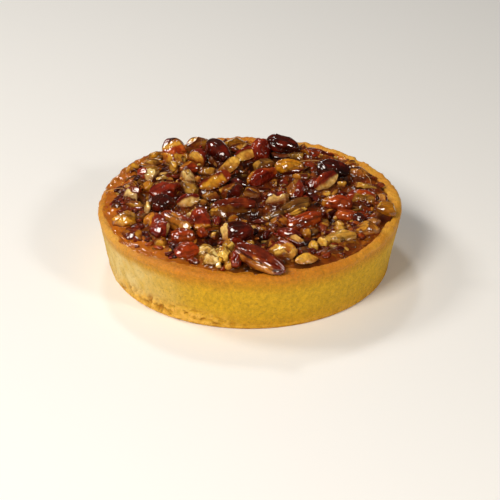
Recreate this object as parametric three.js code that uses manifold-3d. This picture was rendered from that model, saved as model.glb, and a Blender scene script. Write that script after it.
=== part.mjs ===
// A deep pecan tart, turned out of its tin: a straight-sided pastry case, a
// caramel filling level with the rim, and broken pecans heaped on the caramel.
// Millimetres, +Z up, origin at the centre of the base, +X to the right.

import * as THREE from "three";
import { mergeVertices } from "three/addons/utils/BufferGeometryUtils.js";
import Module from "manifold-3d";

const wasm = await Module();
wasm.setup();

// Pastry case
const rimRadius = 76; // outermost radius, just under the crest
const baseRadius = 70.8; // where the wall meets the rounded foot
const caseHeight = 31.5; // height of the crest
const rimWidth = 5; // across the rounded rim
const rimRise = 2.2; // from the rim's shoulder to its crest
const footRound = 1.4; // rounding of the lower outside edge
const floorThickness = 5;
const innerRound = 3; // rounding between floor and wall inside
const segments = 64; // round the case

// Caramel filling
const fillingDrop = 1.8; // from the crest down to the edge of the caramel
const fillingDome = 1.5; // rise from the edge to the middle
const reliefDepth = 0.6; // unevenness of the caramel's top
const gap = 0.3; // clearance kept between neighbouring pieces

// Unevenness of hand-pressed pastry, strongest at the rim
const unevenFrom = 19; // height where the unevenness begins
const highSide = 0.9; // direction in radians of the rim's highest side
const highSideRise = 0.6;

// Pecans
const sectionPoints = 10; // round a pecan's cross-section
const grooveDepth = 0.34; // of the groove along the back, as a part of the height
const flatShare = 0.3; // part of the height below the widest line
const lobeCut = 0.3; // how far a split pecan's cut lies from its middle

const tones = {
  mahogany: 0x4a1a0e,
  red: 0x7d2413,
  brown: 0x7a3f17,
  orange: 0xa9571a,
  tan: 0xa97a35,
  flesh: 0xd2a550,
};

// Each pecan piece: its name, how it is broken, the place of its middle with the
// height above the crest, its length, width and height, then the turn of its long
// axis round Z, the tip of its +x end and the roll about its length, in degrees,
// and its tone.
// A half has two whole ends, a chunk is broken across its +x end, a lobe is
// split lengthwise with the cut face on its -y side, and a flake is thin.
const topping = [
  ["front_half", "half", [5, -65.5, 4], [29, 13, 9], -36, -9, 8, "mahogany"],
  ["back_dome", "half", [-16, 49, 5], [19, 13, 10], -55, -14, 0, "mahogany"],
  ["back_top", "half", [17.5, 55.5, 5.6], [18, 12, 9], -20, -8, 0, "mahogany"],
  ["back_red", "half", [5, 51, 4.5], [16, 12, 10], 75, 8, 0, "red"],
  ["back_knob", "chunk", [-40, 52, 5.5], [13, 12, 10], -70, -8, 0, "tan"],
  ["back_curl", "lobe", [-27, 59, 4.5], [13, 8, 8], 15, 8, -20, "flesh"],
  ["back_cream", "chunk", [-27.5, 42.5, 4.2], [13, 9, 8.5], -105, -10, 0, "red"],
  ["slice_long", "lobe", [-11, 31.5, 4.5], [15, 9, 7], 40, 18, -25, "flesh"],
  ["slice_upper", "lobe", [-1.5, 45, 5], [14, 7, 6.5], 25, 10, -20, "flesh"],
  ["oval_split", "lobe", [-17.5, 15, 4.6], [18, 9, 8], 30, 16, -25, "flesh"],
  ["right_dark", "half", [42.5, 30, 4], [19, 12, 9], -15, -4, 0, "mahogany"],
  ["right_slice", "lobe", [39, 15.5, 4.5], [16, 8, 8], 42, 14, 10, "red"],
  ["right_orange", "half", [43.5, -8, 4], [16.5, 10, 8], -15, -3, 0, "orange"],
  ["right_cup", "half", [56, -2, 3.6], [15, 11, 8], -15, 0, -130, "brown"],
  ["right_sliver", "flake", [60, 12.5, 2.5], [15, 6, 3.5], -28, 0, -25, "flesh"],
  ["right_lobe", "lobe", [65.5, -1.5, 2.6], [11, 7, 6], -75, 0, 0, "red"],
  ["right_rim", "chunk", [67.5, -13.5, 3], [14, 9, 7], 165, -3, 0, "tan"],
  ["right_amber", "chunk", [56, -32, 2.2], [11, 9, 6], 25, 0, 0, "orange"],
  ["broken_back", "chunk", [14, -3, 4], [12, 13, 8], -80, -4, 0, "red"],
  ["ridge_upright", "half", [23, 6, 4.5], [14, 9, 8], 80, 6, 0, "orange"],
  ["ridge_tan", "half", [24, -9.5, 2.6], [20, 9, 7], 30, 5, 18, "tan"],
  ["ridge_orange", "half", [26.5, -25.5, 3.6], [20, 11, 8.5], 30, 6, 0, "orange"],
  ["ridge_brown", "chunk", [14.5, -25, 2.2], [11, 8, 6], 30, 0, 0, "brown"],
  ["middle_edge", "half", [6.5, 20.5, 4.4], [18, 10, 8], 38, 9, -10, "brown"],
  ["middle_grey", "chunk", [8, 35.5, 3.2], [11, 8, 7], -160, 0, 0, "tan"],
  ["middle_orange", "half", [20.5, 32, 4], [15, 9, 8], -8, 0, 0, "orange"],
  ["back_flat", "flake", [32.5, 55, 2], [16, 9, 4.5], -15, 0, 0, "orange"],
  ["right_flat", "flake", [57.5, 28, 2], [16, 9, 4.5], -35, 0, 0, "red"],
  ["centre_long", "half", [-7, -11.5, 3.6], [24, 10, 8], 6, 0, 12, "brown"],
  ["centre_tan", "chunk", [-8, 8, 3], [12, 9, 7], -150, 0, 0, "tan"],
  ["left_maroon", "half", [-42, 5, 4.6], [17, 11, 9], 22, 3, 0, "red"],
  ["left_dark", "half", [-43, -8.5, 4], [14, 10, 9], 12, 0, 0, "mahogany"],
  ["left_crescent", "lobe", [-30.5, -6, 4], [12, 7, 7], 22, 8, -20, "flesh"],
  ["left_amber", "chunk", [-31.5, 10, 3.5], [11, 9, 7], -25, 0, 0, "orange"],
  ["left_white", "chunk", [-31.5, 23, 3.5], [9, 8, 7], -80, -5, 0, "flesh"],
  ["left_back", "chunk", [-32, 33.5, 3], [10, 8, 6.5], 10, 0, 0, "orange"],
  ["left_cream", "chunk", [-51, 26, 3.5], [10, 9, 7], -120, 0, 0, "flesh"],
  ["left_bright", "chunk", [-59, 4.5, 3], [10, 8, 7], -100, 0, 0, "flesh"],
  ["left_double", "chunk", [-61, -21, 2.7], [11, 12, 7], -95, 0, 0, "flesh"],
  ["left_long", "chunk", [-36, -25.5, 3.5], [18, 10, 8], -40, -6, 0, "orange"],
  ["left_mixed", "chunk", [-46, -25, 3], [11, 9, 7], 160, 0, 0, "tan"],
  ["left_shine", "chunk", [-44, -35, 3.4], [9, 9, 7.5], -10, 0, 0, "red"],
  ["front_orange", "half", [-31.5, -39.5, 2.4], [14, 9, 7], 8, 0, 0, "orange"],
  ["front_brown", "half", [-29.5, -53.5, 2.5], [13, 10, 7.5], 8, 0, 0, "brown"],
  ["front_red", "chunk", [-24, -24, 3.5], [14, 10, 8], -80, -12, 0, "red"],
  ["centre_shine", "lobe", [-16, -19.5, 3.3], [11, 7, 6], -45, 0, -20, "tan"],
  ["centre_dark", "chunk", [-5, -40, 5], [15, 12, 10], -160, 5, 0, "mahogany"],
  ["front_rim", "lobe", [-6, -48, 2.6], [14, 7, 6], 3, 0, -20, "red"],
  ["cluster_front", "chunk", [-17, -62, 2.2], [9, 9, 6.5], -100, 0, 0, "flesh"],
  ["cluster_right", "chunk", [-12.2, -58, 3], [9, 7, 7.5], -95, 0, 0, "flesh"],
  ["front_small", "chunk", [-6.5, -64.5, 2.6], [9, 6.5, 7.5], 85, 0, 0, "mahogany"],
  ["front_lobed", "chunk", [14.5, -54.5, 4], [14, 12, 9], -50, -8, 0, "flesh"],
  ["front_dark", "chunk", [21.5, -46, 3], [9, 8, 7], 20, 0, 0, "mahogany"],
  ["front_oval", "lobe", [27, -62, 2.2], [11.5, 7, 5.5], 20, 0, -45, "flesh"],
  ["front_cream", "lobe", [43.5, -41, 2.6], [14.5, 7, 6], 8, 0, -40, "flesh"],
  ["back_rough", "lobe", [-7.5, 60.5, 3.5], [14, 8, 6.5], 5, 0, -10, "tan"],
];

// ---- helpers ----

const radians = THREE.MathUtils.degToRad;
const smooth = THREE.MathUtils.smoothstep;

// A closed geometry as a manifold-3d solid.
function toSolid(geometry) {
  const bare = geometry.clone();
  bare.deleteAttribute("normal");
  bare.deleteAttribute("uv");
  const merged = mergeVertices(bare, 1e-4);
  return new wasm.Manifold(
    new wasm.Mesh({
      numProp: 3,
      vertProperties: merged.attributes.position.array,
      triVerts: new Uint32Array(merged.index.array),
    }),
  );
}

// A manifold-3d solid as a flat-shaded geometry.
function toGeometry(solid) {
  const mesh = solid.getMesh();
  const position = new THREE.BufferAttribute(mesh.vertProperties, mesh.numProp);
  const geometry = new THREE.BufferGeometry();
  geometry.setAttribute("position", position);
  geometry.setIndex(new THREE.BufferAttribute(mesh.triVerts, 1));
  geometry.computeVertexNormals();
  return geometry;
}

// The largest body of a solid, without crumbs that a cut left.
function largestBody(solid) {
  return solid.decompose().reduce((a, b) => (b.volume() > a.volume() ? b : a));
}

// Points along a round, from one angle to another in degrees.
function roundPoints(centreR, centreZ, sizeR, sizeZ, from, to, steps) {
  return Array.from({ length: steps + 1 }, (_, i) => {
    const angle = radians(from + ((to - from) * i) / steps);
    return new THREE.Vector2(
      centreR + sizeR * Math.cos(angle),
      centreZ + sizeZ * Math.sin(angle),
    );
  });
}

// Gentle swells over the caramel's top, fading out towards the rim.
function relief(x, y) {
  const broad = Math.sin(0.13 * x + 1) * Math.cos(0.11 * y - 0.5);
  const fine = 0.5 * Math.sin(0.27 * x - 0.23 * y);
  const fade = 1 - (Math.hypot(x, y) / (rimRadius - rimWidth)) ** 4;
  return reliefDepth * (broad + fine) * Math.max(0, fade);
}

// Turns a profile of radius and height round Z, then makes the upper part
// uneven, as the rim is, and gives the caramel its relief.
function turned(profile) {
  const geometry = new THREE.LatheGeometry(profile, segments);
  geometry.rotateX(Math.PI / 2);
  const position = geometry.attributes.position;
  for (let i = 0; i < position.count; i++) {
    const x = position.getX(i);
    const y = position.getY(i);
    const z = position.getZ(i);
    const angle = Math.atan2(y, x);
    const share = smooth(z, unevenFrom, caseHeight);
    const outward = 0.3 * Math.sin(3 * angle + 0.8) + 0.15 * Math.sin(7 * angle + 2);
    const upward =
      highSideRise * Math.cos(angle - highSide) +
      0.25 * Math.sin(3 * angle + 1.9) +
      0.2 * Math.sin(8 * angle);
    const radius = Math.hypot(x, y);
    const edgeShare = share * Math.min(1, radius / rimRadius) ** 3;
    const stretch = radius > 0 ? 1 + (edgeShare * outward) / radius : 1;
    const lift = z > unevenFrom ? relief(x, y) : 0;
    position.setXYZ(i, x * stretch, y * stretch, z + edgeShare * upward + lift);
  }
  return geometry;
}

// ---- pastry case and filling ----

const rimMiddle = rimRadius - rimWidth / 2;
const shoulderHeight = caseHeight - rimRise;
const innerTop = rimRadius - rimWidth;
const innerFoot = baseRadius - rimWidth + 0.6; // the wall is a little thinner below
const outerRim = roundPoints(rimMiddle, shoulderHeight, rimWidth / 2, rimRise, 0, 90, 3);
const innerRim = roundPoints(rimMiddle, shoulderHeight, rimWidth / 2, rimRise, 90, 180, 3);

function pastryCase() {
  const footMiddle = baseRadius - footRound;
  const cornerR = innerFoot - innerRound;
  const cornerZ = floorThickness + innerRound;
  return turned([
    new THREE.Vector2(0, 0),
    new THREE.Vector2(footMiddle, 0),
    ...roundPoints(footMiddle, footRound, footRound, footRound, -60, 0, 2),
    ...outerRim,
    ...innerRim.slice(1),
    ...roundPoints(cornerR, cornerZ, innerRound, innerRound, 0, -90, 2),
    new THREE.Vector2(0, floorThickness),
  ]);
}

// Radii and heights over the caramel's top, from the rim to the middle.
function fillingTop(raise) {
  const edge = innerTop - gap;
  return [1, 0.93, 0.82, 0.68, 0.54, 0.4, 0.26, 0.12, 0].map((share) => {
    const height = caseHeight - fillingDrop + fillingDome * (1 - share ** 2);
    return new THREE.Vector2(share * edge, height + raise);
  });
}

function filling() {
  const round = innerRound - gap;
  const cornerR = innerFoot - innerRound;
  const cornerZ = floorThickness + innerRound;
  return turned([
    new THREE.Vector2(0, floorThickness + gap),
    ...roundPoints(cornerR, cornerZ, round, round, -90, 0, 2),
    ...fillingTop(0),
  ]);
}

// Everything below the pecans, a gap higher than it is: it shapes the side on
// which they rest on the caramel and on the rim.
function restingBed() {
  const beyond = rimRadius + 20;
  const raisedRim = innerRim.map((p) => new THREE.Vector2(p.x, p.y + gap));
  return turned([
    new THREE.Vector2(0, 0),
    new THREE.Vector2(beyond, 0),
    new THREE.Vector2(beyond, caseHeight + gap),
    ...raisedRim,
    ...fillingTop(gap),
  ]);
}

// ---- pecans ----

// Half-width and height round a pecan's section, as parts of its size. The
// back is two swells beside a groove and the other side is nearly flat.
function section(kind, angle) {
  const across = Math.cos(angle);
  const up = Math.sin(angle);
  const grooved = 1 - grooveDepth * Math.exp(-((across / 0.3) ** 2));
  const y = kind === "lobe" ? Math.max(across, -lobeCut) : across;
  if (up < 0) {
    return [y, flatShare * up * (kind === "lobe" ? 1 : grooved)];
  }
  const back = kind === "half" || kind === "chunk" ? grooved : 1;
  return [y, (1 - flatShare) * Math.pow(up, 0.8) * back];
}

// A pecan piece lying along X, its back up, grown all round by grow.
function pecanPiece(kind, size, grow) {
  const [length, width, height] = size.map((s) => s + 2 * grow);
  const broken = kind === "chunk";
  const stations = broken ? [-0.86, -0.5, -0.05, 0.42] : [-0.88, -0.5, 0, 0.5, 0.86];
  const last = broken ? 0.42 : 1;
  const toX = (u) => length * ((u + 1) / (last + 1) - 0.5);
  const vertices = [toX(-1), 0, 0];
  for (const u of stations) {
    const fullness = Math.sqrt(1 - Math.abs(u) ** 2.3);
    const taper = 1 - 0.12 * u;
    for (let i = 0; i < sectionPoints; i++) {
      const angle = (2 * Math.PI * (i + 0.5)) / sectionPoints;
      const [y, z] = section(kind, angle);
      const jag = broken && u === last ? 0.035 * length * Math.sin(3 * angle) : 0;
      vertices.push(
        toX(u) + jag,
        (width / 2) * y * fullness * taper,
        height * (z + flatShare - 0.5) * fullness,
      );
    }
  }
  vertices.push(toX(last), 0, 0);
  const indices = [];
  const end = vertices.length / 3 - 1;
  for (let i = 0; i < sectionPoints; i++) {
    const j = (i + 1) % sectionPoints;
    indices.push(0, 1 + j, 1 + i);
    for (let s = 0; s < stations.length - 1; s++) {
      const a = 1 + s * sectionPoints;
      const b = a + sectionPoints;
      indices.push(a + i, a + j, b + i);
      indices.push(a + j, b + j, b + i);
    }
    const lastRing = end - sectionPoints;
    indices.push(end, lastRing + i, lastRing + j);
  }
  const geometry = new THREE.BufferGeometry();
  geometry.setAttribute("position", new THREE.Float32BufferAttribute(vertices, 3));
  geometry.setIndex(indices);
  return geometry;
}

function placedPecan([, kind, place, size, turn, tip, roll], grow) {
  const geometry = pecanPiece(kind, size, grow);
  geometry.rotateX(radians(roll));
  geometry.rotateY(radians(-tip));
  geometry.rotateZ(radians(turn));
  geometry.translate(place[0], place[1], caseHeight + place[2]);
  return toSolid(geometry);
}

// Each pecan keeps a gap to the bed and to the pecans placed before it.
function heapOfPecans() {
  const bed = toSolid(restingBed());
  const placed = [];
  return topping.map((row) => {
    let solid = placedPecan(row, 0).subtract(bed);
    for (const earlier of placed) {
      solid = solid.subtract(earlier);
    }
    placed.push(placedPecan(row, gap));
    return [row[0], row[7], largestBody(solid)];
  });
}

// ---- the whole tart ----

const tart = new THREE.Group();

function addPart(name, geometry, color, roughness) {
  const material = new THREE.MeshStandardMaterial({ color, roughness, metalness: 0 });
  material.flatShading = true;
  const mesh = new THREE.Mesh(geometry, material);
  mesh.name = name;
  tart.add(mesh);
}

addPart("pastry_case", pastryCase(), 0xcd9a35, 0.75);
addPart("caramel_filling", filling(), 0x7a3d14, 0.25);
for (const [name, tone, solid] of heapOfPecans()) {
  addPart("pecan_" + name, toGeometry(solid), tones[tone], 0.3);
}

export default tart;
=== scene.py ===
# Deep pecan tart: a golden shortcrust case filled with caramel and heaped with
# glazed, broken pecans. Sizes are in millimetres and become metres in each mesh.
import math

import bpy
import numpy as np
from mathutils import Matrix, Vector


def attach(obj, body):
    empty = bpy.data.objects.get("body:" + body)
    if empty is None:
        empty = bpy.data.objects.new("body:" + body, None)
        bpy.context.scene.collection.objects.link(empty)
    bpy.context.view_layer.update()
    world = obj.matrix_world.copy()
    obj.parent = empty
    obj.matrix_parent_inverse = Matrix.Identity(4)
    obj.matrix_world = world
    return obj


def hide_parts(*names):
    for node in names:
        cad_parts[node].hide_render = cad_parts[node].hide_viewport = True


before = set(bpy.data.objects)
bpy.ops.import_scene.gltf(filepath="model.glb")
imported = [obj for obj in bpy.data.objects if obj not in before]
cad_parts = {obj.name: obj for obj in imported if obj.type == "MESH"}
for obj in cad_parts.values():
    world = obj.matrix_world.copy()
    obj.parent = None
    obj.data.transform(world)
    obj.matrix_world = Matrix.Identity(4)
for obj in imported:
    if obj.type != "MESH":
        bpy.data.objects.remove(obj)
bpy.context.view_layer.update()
mm = 0.001
perMetre = 1000  # a pattern spaced by s mm has the scale perMetre / s

# Colour, noise and mesh helpers

# Large primes that scramble a lattice corner's place and a seed
cornerPrimes = (374761393, 668265263, 974634541)
seedPrime = 1274126177
lastPrime = 2246822519
low32 = 0xFFFFFFFF
low16 = 0xFFFF


def linear(hexText):
    # sRGB hex value as a linear colour
    srgb = [int(hexText[i:i + 2], 16) / 255 for i in (1, 3, 5)]
    return tuple(c / 12.92 if c <= 0.04045 else ((c + 0.055) / 1.055) ** 2.4 for c in srgb)


def smoothStep(value, low, high):
    t = np.clip((value - low) / (high - low), 0, 1)
    return t * t * (3 - 2 * t)


def noise(x, y, z, size, seed):
    # Value noise from -1 to 1: a scrambled value at each corner of a lattice with
    # the given spacing, blended by a quintic curve.
    grid = np.broadcast_arrays(*[np.asarray(v, float) / size for v in (x, y, z)])
    cell = [np.floor(v).astype(np.int64) for v in grid]
    part = [g - c for g, c in zip(grid, cell)]
    fade = [p ** 3 * (p * (p * 6 - 15) + 10) for p in part]
    total = np.zeros(grid[0].shape)
    for corner in range(8):
        step = [corner & 1, corner >> 1 & 1, corner >> 2]
        mixed = sum((c + s) * prime for c, s, prime in zip(cell, step, cornerPrimes))
        mixed = (mixed + seed * seedPrime) & low32
        mixed = ((mixed ^ (mixed >> 13)) * seedPrime) & low32
        mixed = ((mixed ^ (mixed >> 15)) * lastPrime) & low32
        value = 2 * ((mixed ^ (mixed >> 16)) & low16) / low16 - 1
        weight = 1
        for f, s in zip(fade, step):
            weight = weight * (f if s else 1 - f)
        total = total + value * weight
    return total


def layered(x, y, z, size, seed, octaves=3):
    # Noise summed over octaves, each half the size and half the strength, and
    # brought back to about -1 to 1.
    return sum(noise(x, y, z, size / 2 ** k, seed + k) / 2 ** k for k in range(octaves)) / 1.5


def apart(angle, side):
    # Degrees between two directions, from 0 to 180
    return np.abs((angle - side + 180) % 360 - 180)


def closedSurfaces(rings, start=None, end=None):
    # Rings of points with a pole at each end: quads between the rings and a fan
    # at each pole. Without poles the last ring joins the first. Arrays are
    # (pieces, rings, around, xyz) and (pieces, xyz).
    pieces, count, around, _ = rings.shape
    vertices = rings.reshape(pieces, count * around, 3)
    joined = start is None
    i, j = np.meshgrid(np.arange(count - (not joined)), np.arange(around), indexing="ij")
    after = (j + 1) % around
    above = (i + 1) % count * around
    quads = np.stack([i * around + j, i * around + after, above + after, above + j], -1).reshape(-1, 4)
    fans = np.zeros((0, 3), int)
    if not joined:
        vertices = np.concatenate([vertices, start[:, None], end[:, None]], axis=1)
        j = np.arange(around)
        after = (j + 1) % around
        base = (count - 1) * around
        first = np.stack([np.full(around, count * around), after, j], -1)
        last = np.stack([np.full(around, count * around + 1), base + j, base + after], -1)
        fans = np.concatenate([first, last])
    shift = (np.arange(pieces) * vertices.shape[1])[:, None, None]
    quads = (quads[None] + shift).reshape(-1, 4)
    fans = (fans[None] + shift).reshape(-1, 3)
    return vertices.reshape(-1, 3), quads, fans


def closedPieces(points, rings, around):
    # Closes pieces whose points are those of their rings and then the two poles.
    return closedSurfaces(points[:, :-2].reshape(len(points), rings, around, 3), points[:, -2], points[:, -1])


def ballPoints(rings, around, gap):
    # A unit ball as rings round X, the first one so many radians from its pole,
    # and then the two poles.
    turn = np.linspace(gap, math.pi - gap, rings)[:, None]
    spin = 2 * np.pi * np.arange(around)[None] / around
    ball = np.stack([0 * spin - np.cos(turn), np.sin(turn) * np.cos(spin), np.sin(turn) * np.sin(spin)], -1)
    return np.concatenate([ball.reshape(-1, 3), [[-1.0, 0, 0], [1.0, 0, 0]]])


def makePiece(name, surface, material, values=None, replaced=()):
    # Puts a closed surface into a mesh object that rides on the tart. Values
    # are named arrays for the vertices: one number each, or a colour.
    vertices, quads, fans = surface
    mesh = bpy.data.meshes.new(name)
    mesh.vertices.add(len(vertices))
    mesh.vertices.foreach_set("co", (vertices * mm).ravel())
    corners = np.concatenate([quads.ravel(), fans.ravel()])
    starts = np.concatenate([np.arange(len(quads)) * 4, quads.size + np.arange(len(fans)) * 3])
    mesh.loops.add(len(corners))
    mesh.loops.foreach_set("vertex_index", corners)
    mesh.polygons.add(len(starts))
    mesh.polygons.foreach_set("loop_start", starts)
    mesh.polygons.foreach_set("use_smooth", np.ones(len(starts), bool))
    mesh.update(calc_edges=True)
    for title, array in (values or {}).items():
        if array.ndim == 1:
            mesh.attributes.new(title, "FLOAT", "POINT").data.foreach_set("value", array)
        else:
            colours = np.concatenate([array, np.ones((len(array), 1))], axis=1)
            mesh.attributes.new(title, "FLOAT_COLOR", "POINT").data.foreach_set("color", colours.ravel())
    piece = bpy.data.objects.new(name, mesh)
    bpy.context.scene.collection.objects.link(piece)
    mesh.materials.append(material)
    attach(piece, "root")
    if replaced:
        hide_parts(*replaced)


def setInput(socket, value):
    # A text is the hex value of a colour
    socket.default_value = (*linear(value), 1) if isinstance(value, str) else value


def addNode(tree, kind, settings=None, **links):
    # Adds a shader node, sets its properties, the stops of its ramp and its
    # unlinked inputs, and links other nodes' outputs to the inputs named as
    # keywords, where i0 is the first one.
    node = tree.nodes.new("ShaderNode" + kind)
    for key, value in (settings or {}).items():
        if key == "stops":
            elements = node.color_ramp.elements
            for k, (spot, tone) in enumerate(value):
                element = elements[k] if k < 2 else elements.new(spot)
                element.position = spot
                element.color = (*linear(tone), 1)
        elif isinstance(key, str) and hasattr(node, key):
            setattr(node, key, value)
        else:
            setInput(node.inputs[key], value)
    for key, output in links.items():
        slot = int(key[1:]) if key[1:].isdigit() else key
        tree.links.new(output, node.inputs[slot])
    return node


def overlaid(tree, colour, layers):
    # Lays plain tones over a colour, one after another, each by its own share.
    for share, tone in layers:
        mix = addNode(tree, "Mix", {"data_type": "RGBA", "B": tone}, Factor=share, A=colour)
        colour = mix.outputs["Result"]
    return colour


def newMaterial(name, surface):
    material = bpy.data.materials.new(name)
    material.use_nodes = True
    tree = material.node_tree
    shader = tree.nodes["Principled BSDF"]
    for key, value in surface.items():
        setInput(shader.inputs[key], value)
    return material, tree, shader


# Camera and light
viewpoint = {
    "elevation": 29.1,  # degrees above the horizon
    "distance": 912,
    "lens": 128.74,
    "sensor": 36,
    "right": 0.36,  # the middle of the picture lies this far beside the origin
    "up": 3.52,
    "nearest": 50,  # what is nearer or further than this isn't seen
    "furthest": 20000,
}
lamps = [
    # name, place in metres, size in metres, power in watts, colour
    ("keySoftbox", (-0.42, -0.66, 0.74), 0.34, 8.0, "#fff8ee"),
    ("fillSoftbox", (0.70, -0.60, 0.60), 0.16, 3.3, "#fffaf4"),
    ("leftSoftbox", (-0.70, 0.22, 0.68), 0.22, 3.3, "#fffaf4"),
    ("backSoftbox", (-0.15, 0.66, 0.80), 0.12, 1.6, "#ffffff"),
]
studio = {
    "aim": (0, 0, 0.02),  # where the lamps point, in metres
    "tint": "#f6f0e6",  # of the light from all round
    "strength": 0.06,
    "floor": 3000,  # half its width
    "floorTone": "#f6f5f2",
    "floorRoughness": 0.55,
}


def addCamera():
    tilt = math.radians(viewpoint["elevation"])
    forward = Vector((0, math.cos(tilt), -math.sin(tilt)))
    upward = Vector((0, math.sin(tilt), math.cos(tilt)))
    place = -forward * viewpoint["distance"] + upward * viewpoint["up"]
    place.x += viewpoint["right"]
    lens = bpy.data.cameras.new("camera")
    lens.lens = viewpoint["lens"]
    lens.sensor_width = viewpoint["sensor"]
    lens.clip_start = viewpoint["nearest"] * mm
    lens.clip_end = viewpoint["furthest"] * mm
    camera = bpy.data.objects.new("camera", lens)
    camera.location = place * mm
    camera.rotation_euler = (math.radians(90 - viewpoint["elevation"]), 0, 0)
    bpy.context.scene.collection.objects.link(camera)
    bpy.context.scene.camera = camera


def addLamps():
    for name, place, size, power, tint in lamps:
        light = bpy.data.lights.new(name, "AREA")
        light.size = size
        light.energy = power
        light.color = linear(tint)
        lamp = bpy.data.objects.new(name, light)
        lamp.location = place
        lamp.rotation_euler = (Vector(place) - Vector(studio["aim"])).to_track_quat("Z", "Y").to_euler()
        bpy.context.scene.collection.objects.link(lamp)
    world = bpy.data.worlds.new("studio")
    world.use_nodes = True
    background = world.node_tree.nodes["Background"]
    setInput(background.inputs["Color"], studio["tint"])
    setInput(background.inputs["Strength"], studio["strength"])
    bpy.context.scene.world = world
    bpy.context.scene.view_settings.view_transform = "Standard"


def addFloor():
    half = studio["floor"] * mm
    mesh = bpy.data.meshes.new("floor")
    corners = [(-half, -half, 0), (half, -half, 0), (half, half, 0), (-half, half, 0)]
    mesh.from_pydata(corners, [], [(0, 1, 2, 3)])
    floor = bpy.data.objects.new("floor", mesh)
    bpy.context.scene.collection.objects.link(floor)
    surface = {"Base Color": studio["floorTone"], "Roughness": studio["floorRoughness"]}
    mesh.materials.append(newMaterial("paleTable", surface)[0])


addCamera()
addLamps()
addFloor()
print("camera, lamps and floor made")

# Pastry case. A side is a direction in degrees from +X towards +Y, and a span is
# how many degrees beside it something holds in full and where it has ended.
case = {
    "rimRadius": 76.0,
    "baseRadius": 70.8,
    "height": 31.5,
    "rimWidth": 5.0,
    "rimRise": 2.2,
    "frontSide": 268,  # where the rim is rolled wider inwards
    "frontSpan": (14, 52),
    "frontWidth": 5.0,
    "rightSide": 10,  # where it is a little wider too
    "rightSpan": (20, 48),
    "rightWidth": 2.2,
    "fold": 0.5,  # depth of the crease where it is rolled
    "foldRadius": 71.3,
    "foldWidth": 0.8,
    "footRound": 1.4,
    "floor": 5.0,
    "innerRound": 3.0,
    "innerLean": 0.6,  # how much thinner the wall is at the floor than the rim
    "firstRing": 8,  # radius of the innermost ring
    "unevenFrom": 19.0,  # height where the wall begins to lean in and out
    "leans": [(0.3, 3, 0.8), (0.15, 7, 2)],  # waves: size, number round the case, phase in radians
    "rises": [(0.25, 3, 1.9), (0.2, 8, 0)],
    "highSide": 0.9,  # direction of the rim's highest side, in radians
    "highSideRise": 0.6,
    "pressed": 0.30,  # depth of the hollows that fingers left
    "grain": 0.13,  # depth of the crumb on the wall
    "nicks": 0.35,  # depth of the chips in the rim
    "ragged": 0.32,  # depth of the rim's roughness
    "crumble": 1.1,  # depth of the coarse crumb at the foot
    "crumbleSide": 232,
    "crumbleSpan": (8, 42),
    "crumbleHeight": (4, 13),  # where it begins to fade and where it has ended
    # The paler stretch of the wall is partly less baked pastry and partly a painted sheen where light glances
    # off the wall
    "paleFrom": (186, 206),  # directions where the paler stretch of the wall begins and is in full
    "paleTo": (212, 254),  # where it begins to fade and has ended
    "paleFoot": (1, 7),  # heights where it begins and is in full, at the side that follows
    "paleFootSide": 222,
    "paleClimb": 0.2,  # how much higher they are for each degree further round
    "paleTop": (23, 27),  # heights between which it fades towards the rim, though not to nothing
    "goldenSide": 15,  # where the rim is golden, lighter there partly as painted light
    "goldenSpan": (35, 80),
    "goldenLeft": 200,
    "goldenLeftSpan": (8, 26),
    "rimFrom": (27.5, 29.5),  # heights between which the wall turns into rim
    "around": 640,
    "wallSteps": 61,
    "rimSteps": 27,
    "filmRings": 8,  # rings of the wall that the caramel film can reach
}


def arc(centreR, centreZ, sizeR, sizeZ, start, stop, steps):
    angle = np.radians(np.linspace(start, stop, steps))
    return np.stack([centreR + sizeR * np.cos(angle), centreZ + sizeZ * np.sin(angle)], -1)


def line(start, stop, steps):
    share = np.linspace(0, 1, steps)[:, None]
    return np.array(start) * (1 - share) + np.array(stop) * share


def uneven(points):
    # The wall's upper part leans in and out, and the rim rises and dips, by sums
    # of sines of the angle round the middle that fade out below.
    x, y, z = points[..., 0], points[..., 1], points[..., 2]
    angle = np.arctan2(y, x)
    radius = np.hypot(x, y)
    share = smoothStep(z, case["unevenFrom"], case["height"])
    share = share * np.minimum(1, radius / case["rimRadius"]) ** 3
    outward = sum(size * np.sin(count * angle + phase) for size, count, phase in case["leans"])
    upward = case["highSideRise"] * np.cos(angle - case["highSide"])
    for size, count, phase in case["rises"]:
        upward = upward + size * np.sin(count * angle + phase)
    stretch = 1 + share * outward / np.maximum(radius, 1)
    return np.stack([x * stretch, y * stretch, z + share * upward], -1)


def sideShare(x, y, side, span):
    # 1 on a side and 0 away from it
    return 1 - smoothStep(apart(np.degrees(np.arctan2(y, x)), side), *span)


def frontShare(x, y):
    # 1 on the front side, where the rim is wider, and 0 elsewhere
    return sideShare(x, y, case["frontSide"], case["frontSpan"])


def turned(profile, around):
    # A profile of radius and height turned round Z, as (1, rings, around, xyz).
    angle = np.linspace(0, 2 * np.pi, around, endpoint=False)
    radius, height = profile[:, 0, None], profile[:, 1, None]
    x, y = radius * np.cos(angle), radius * np.sin(angle)
    return np.stack([x, y, height + 0 * x], -1)[None]


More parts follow.
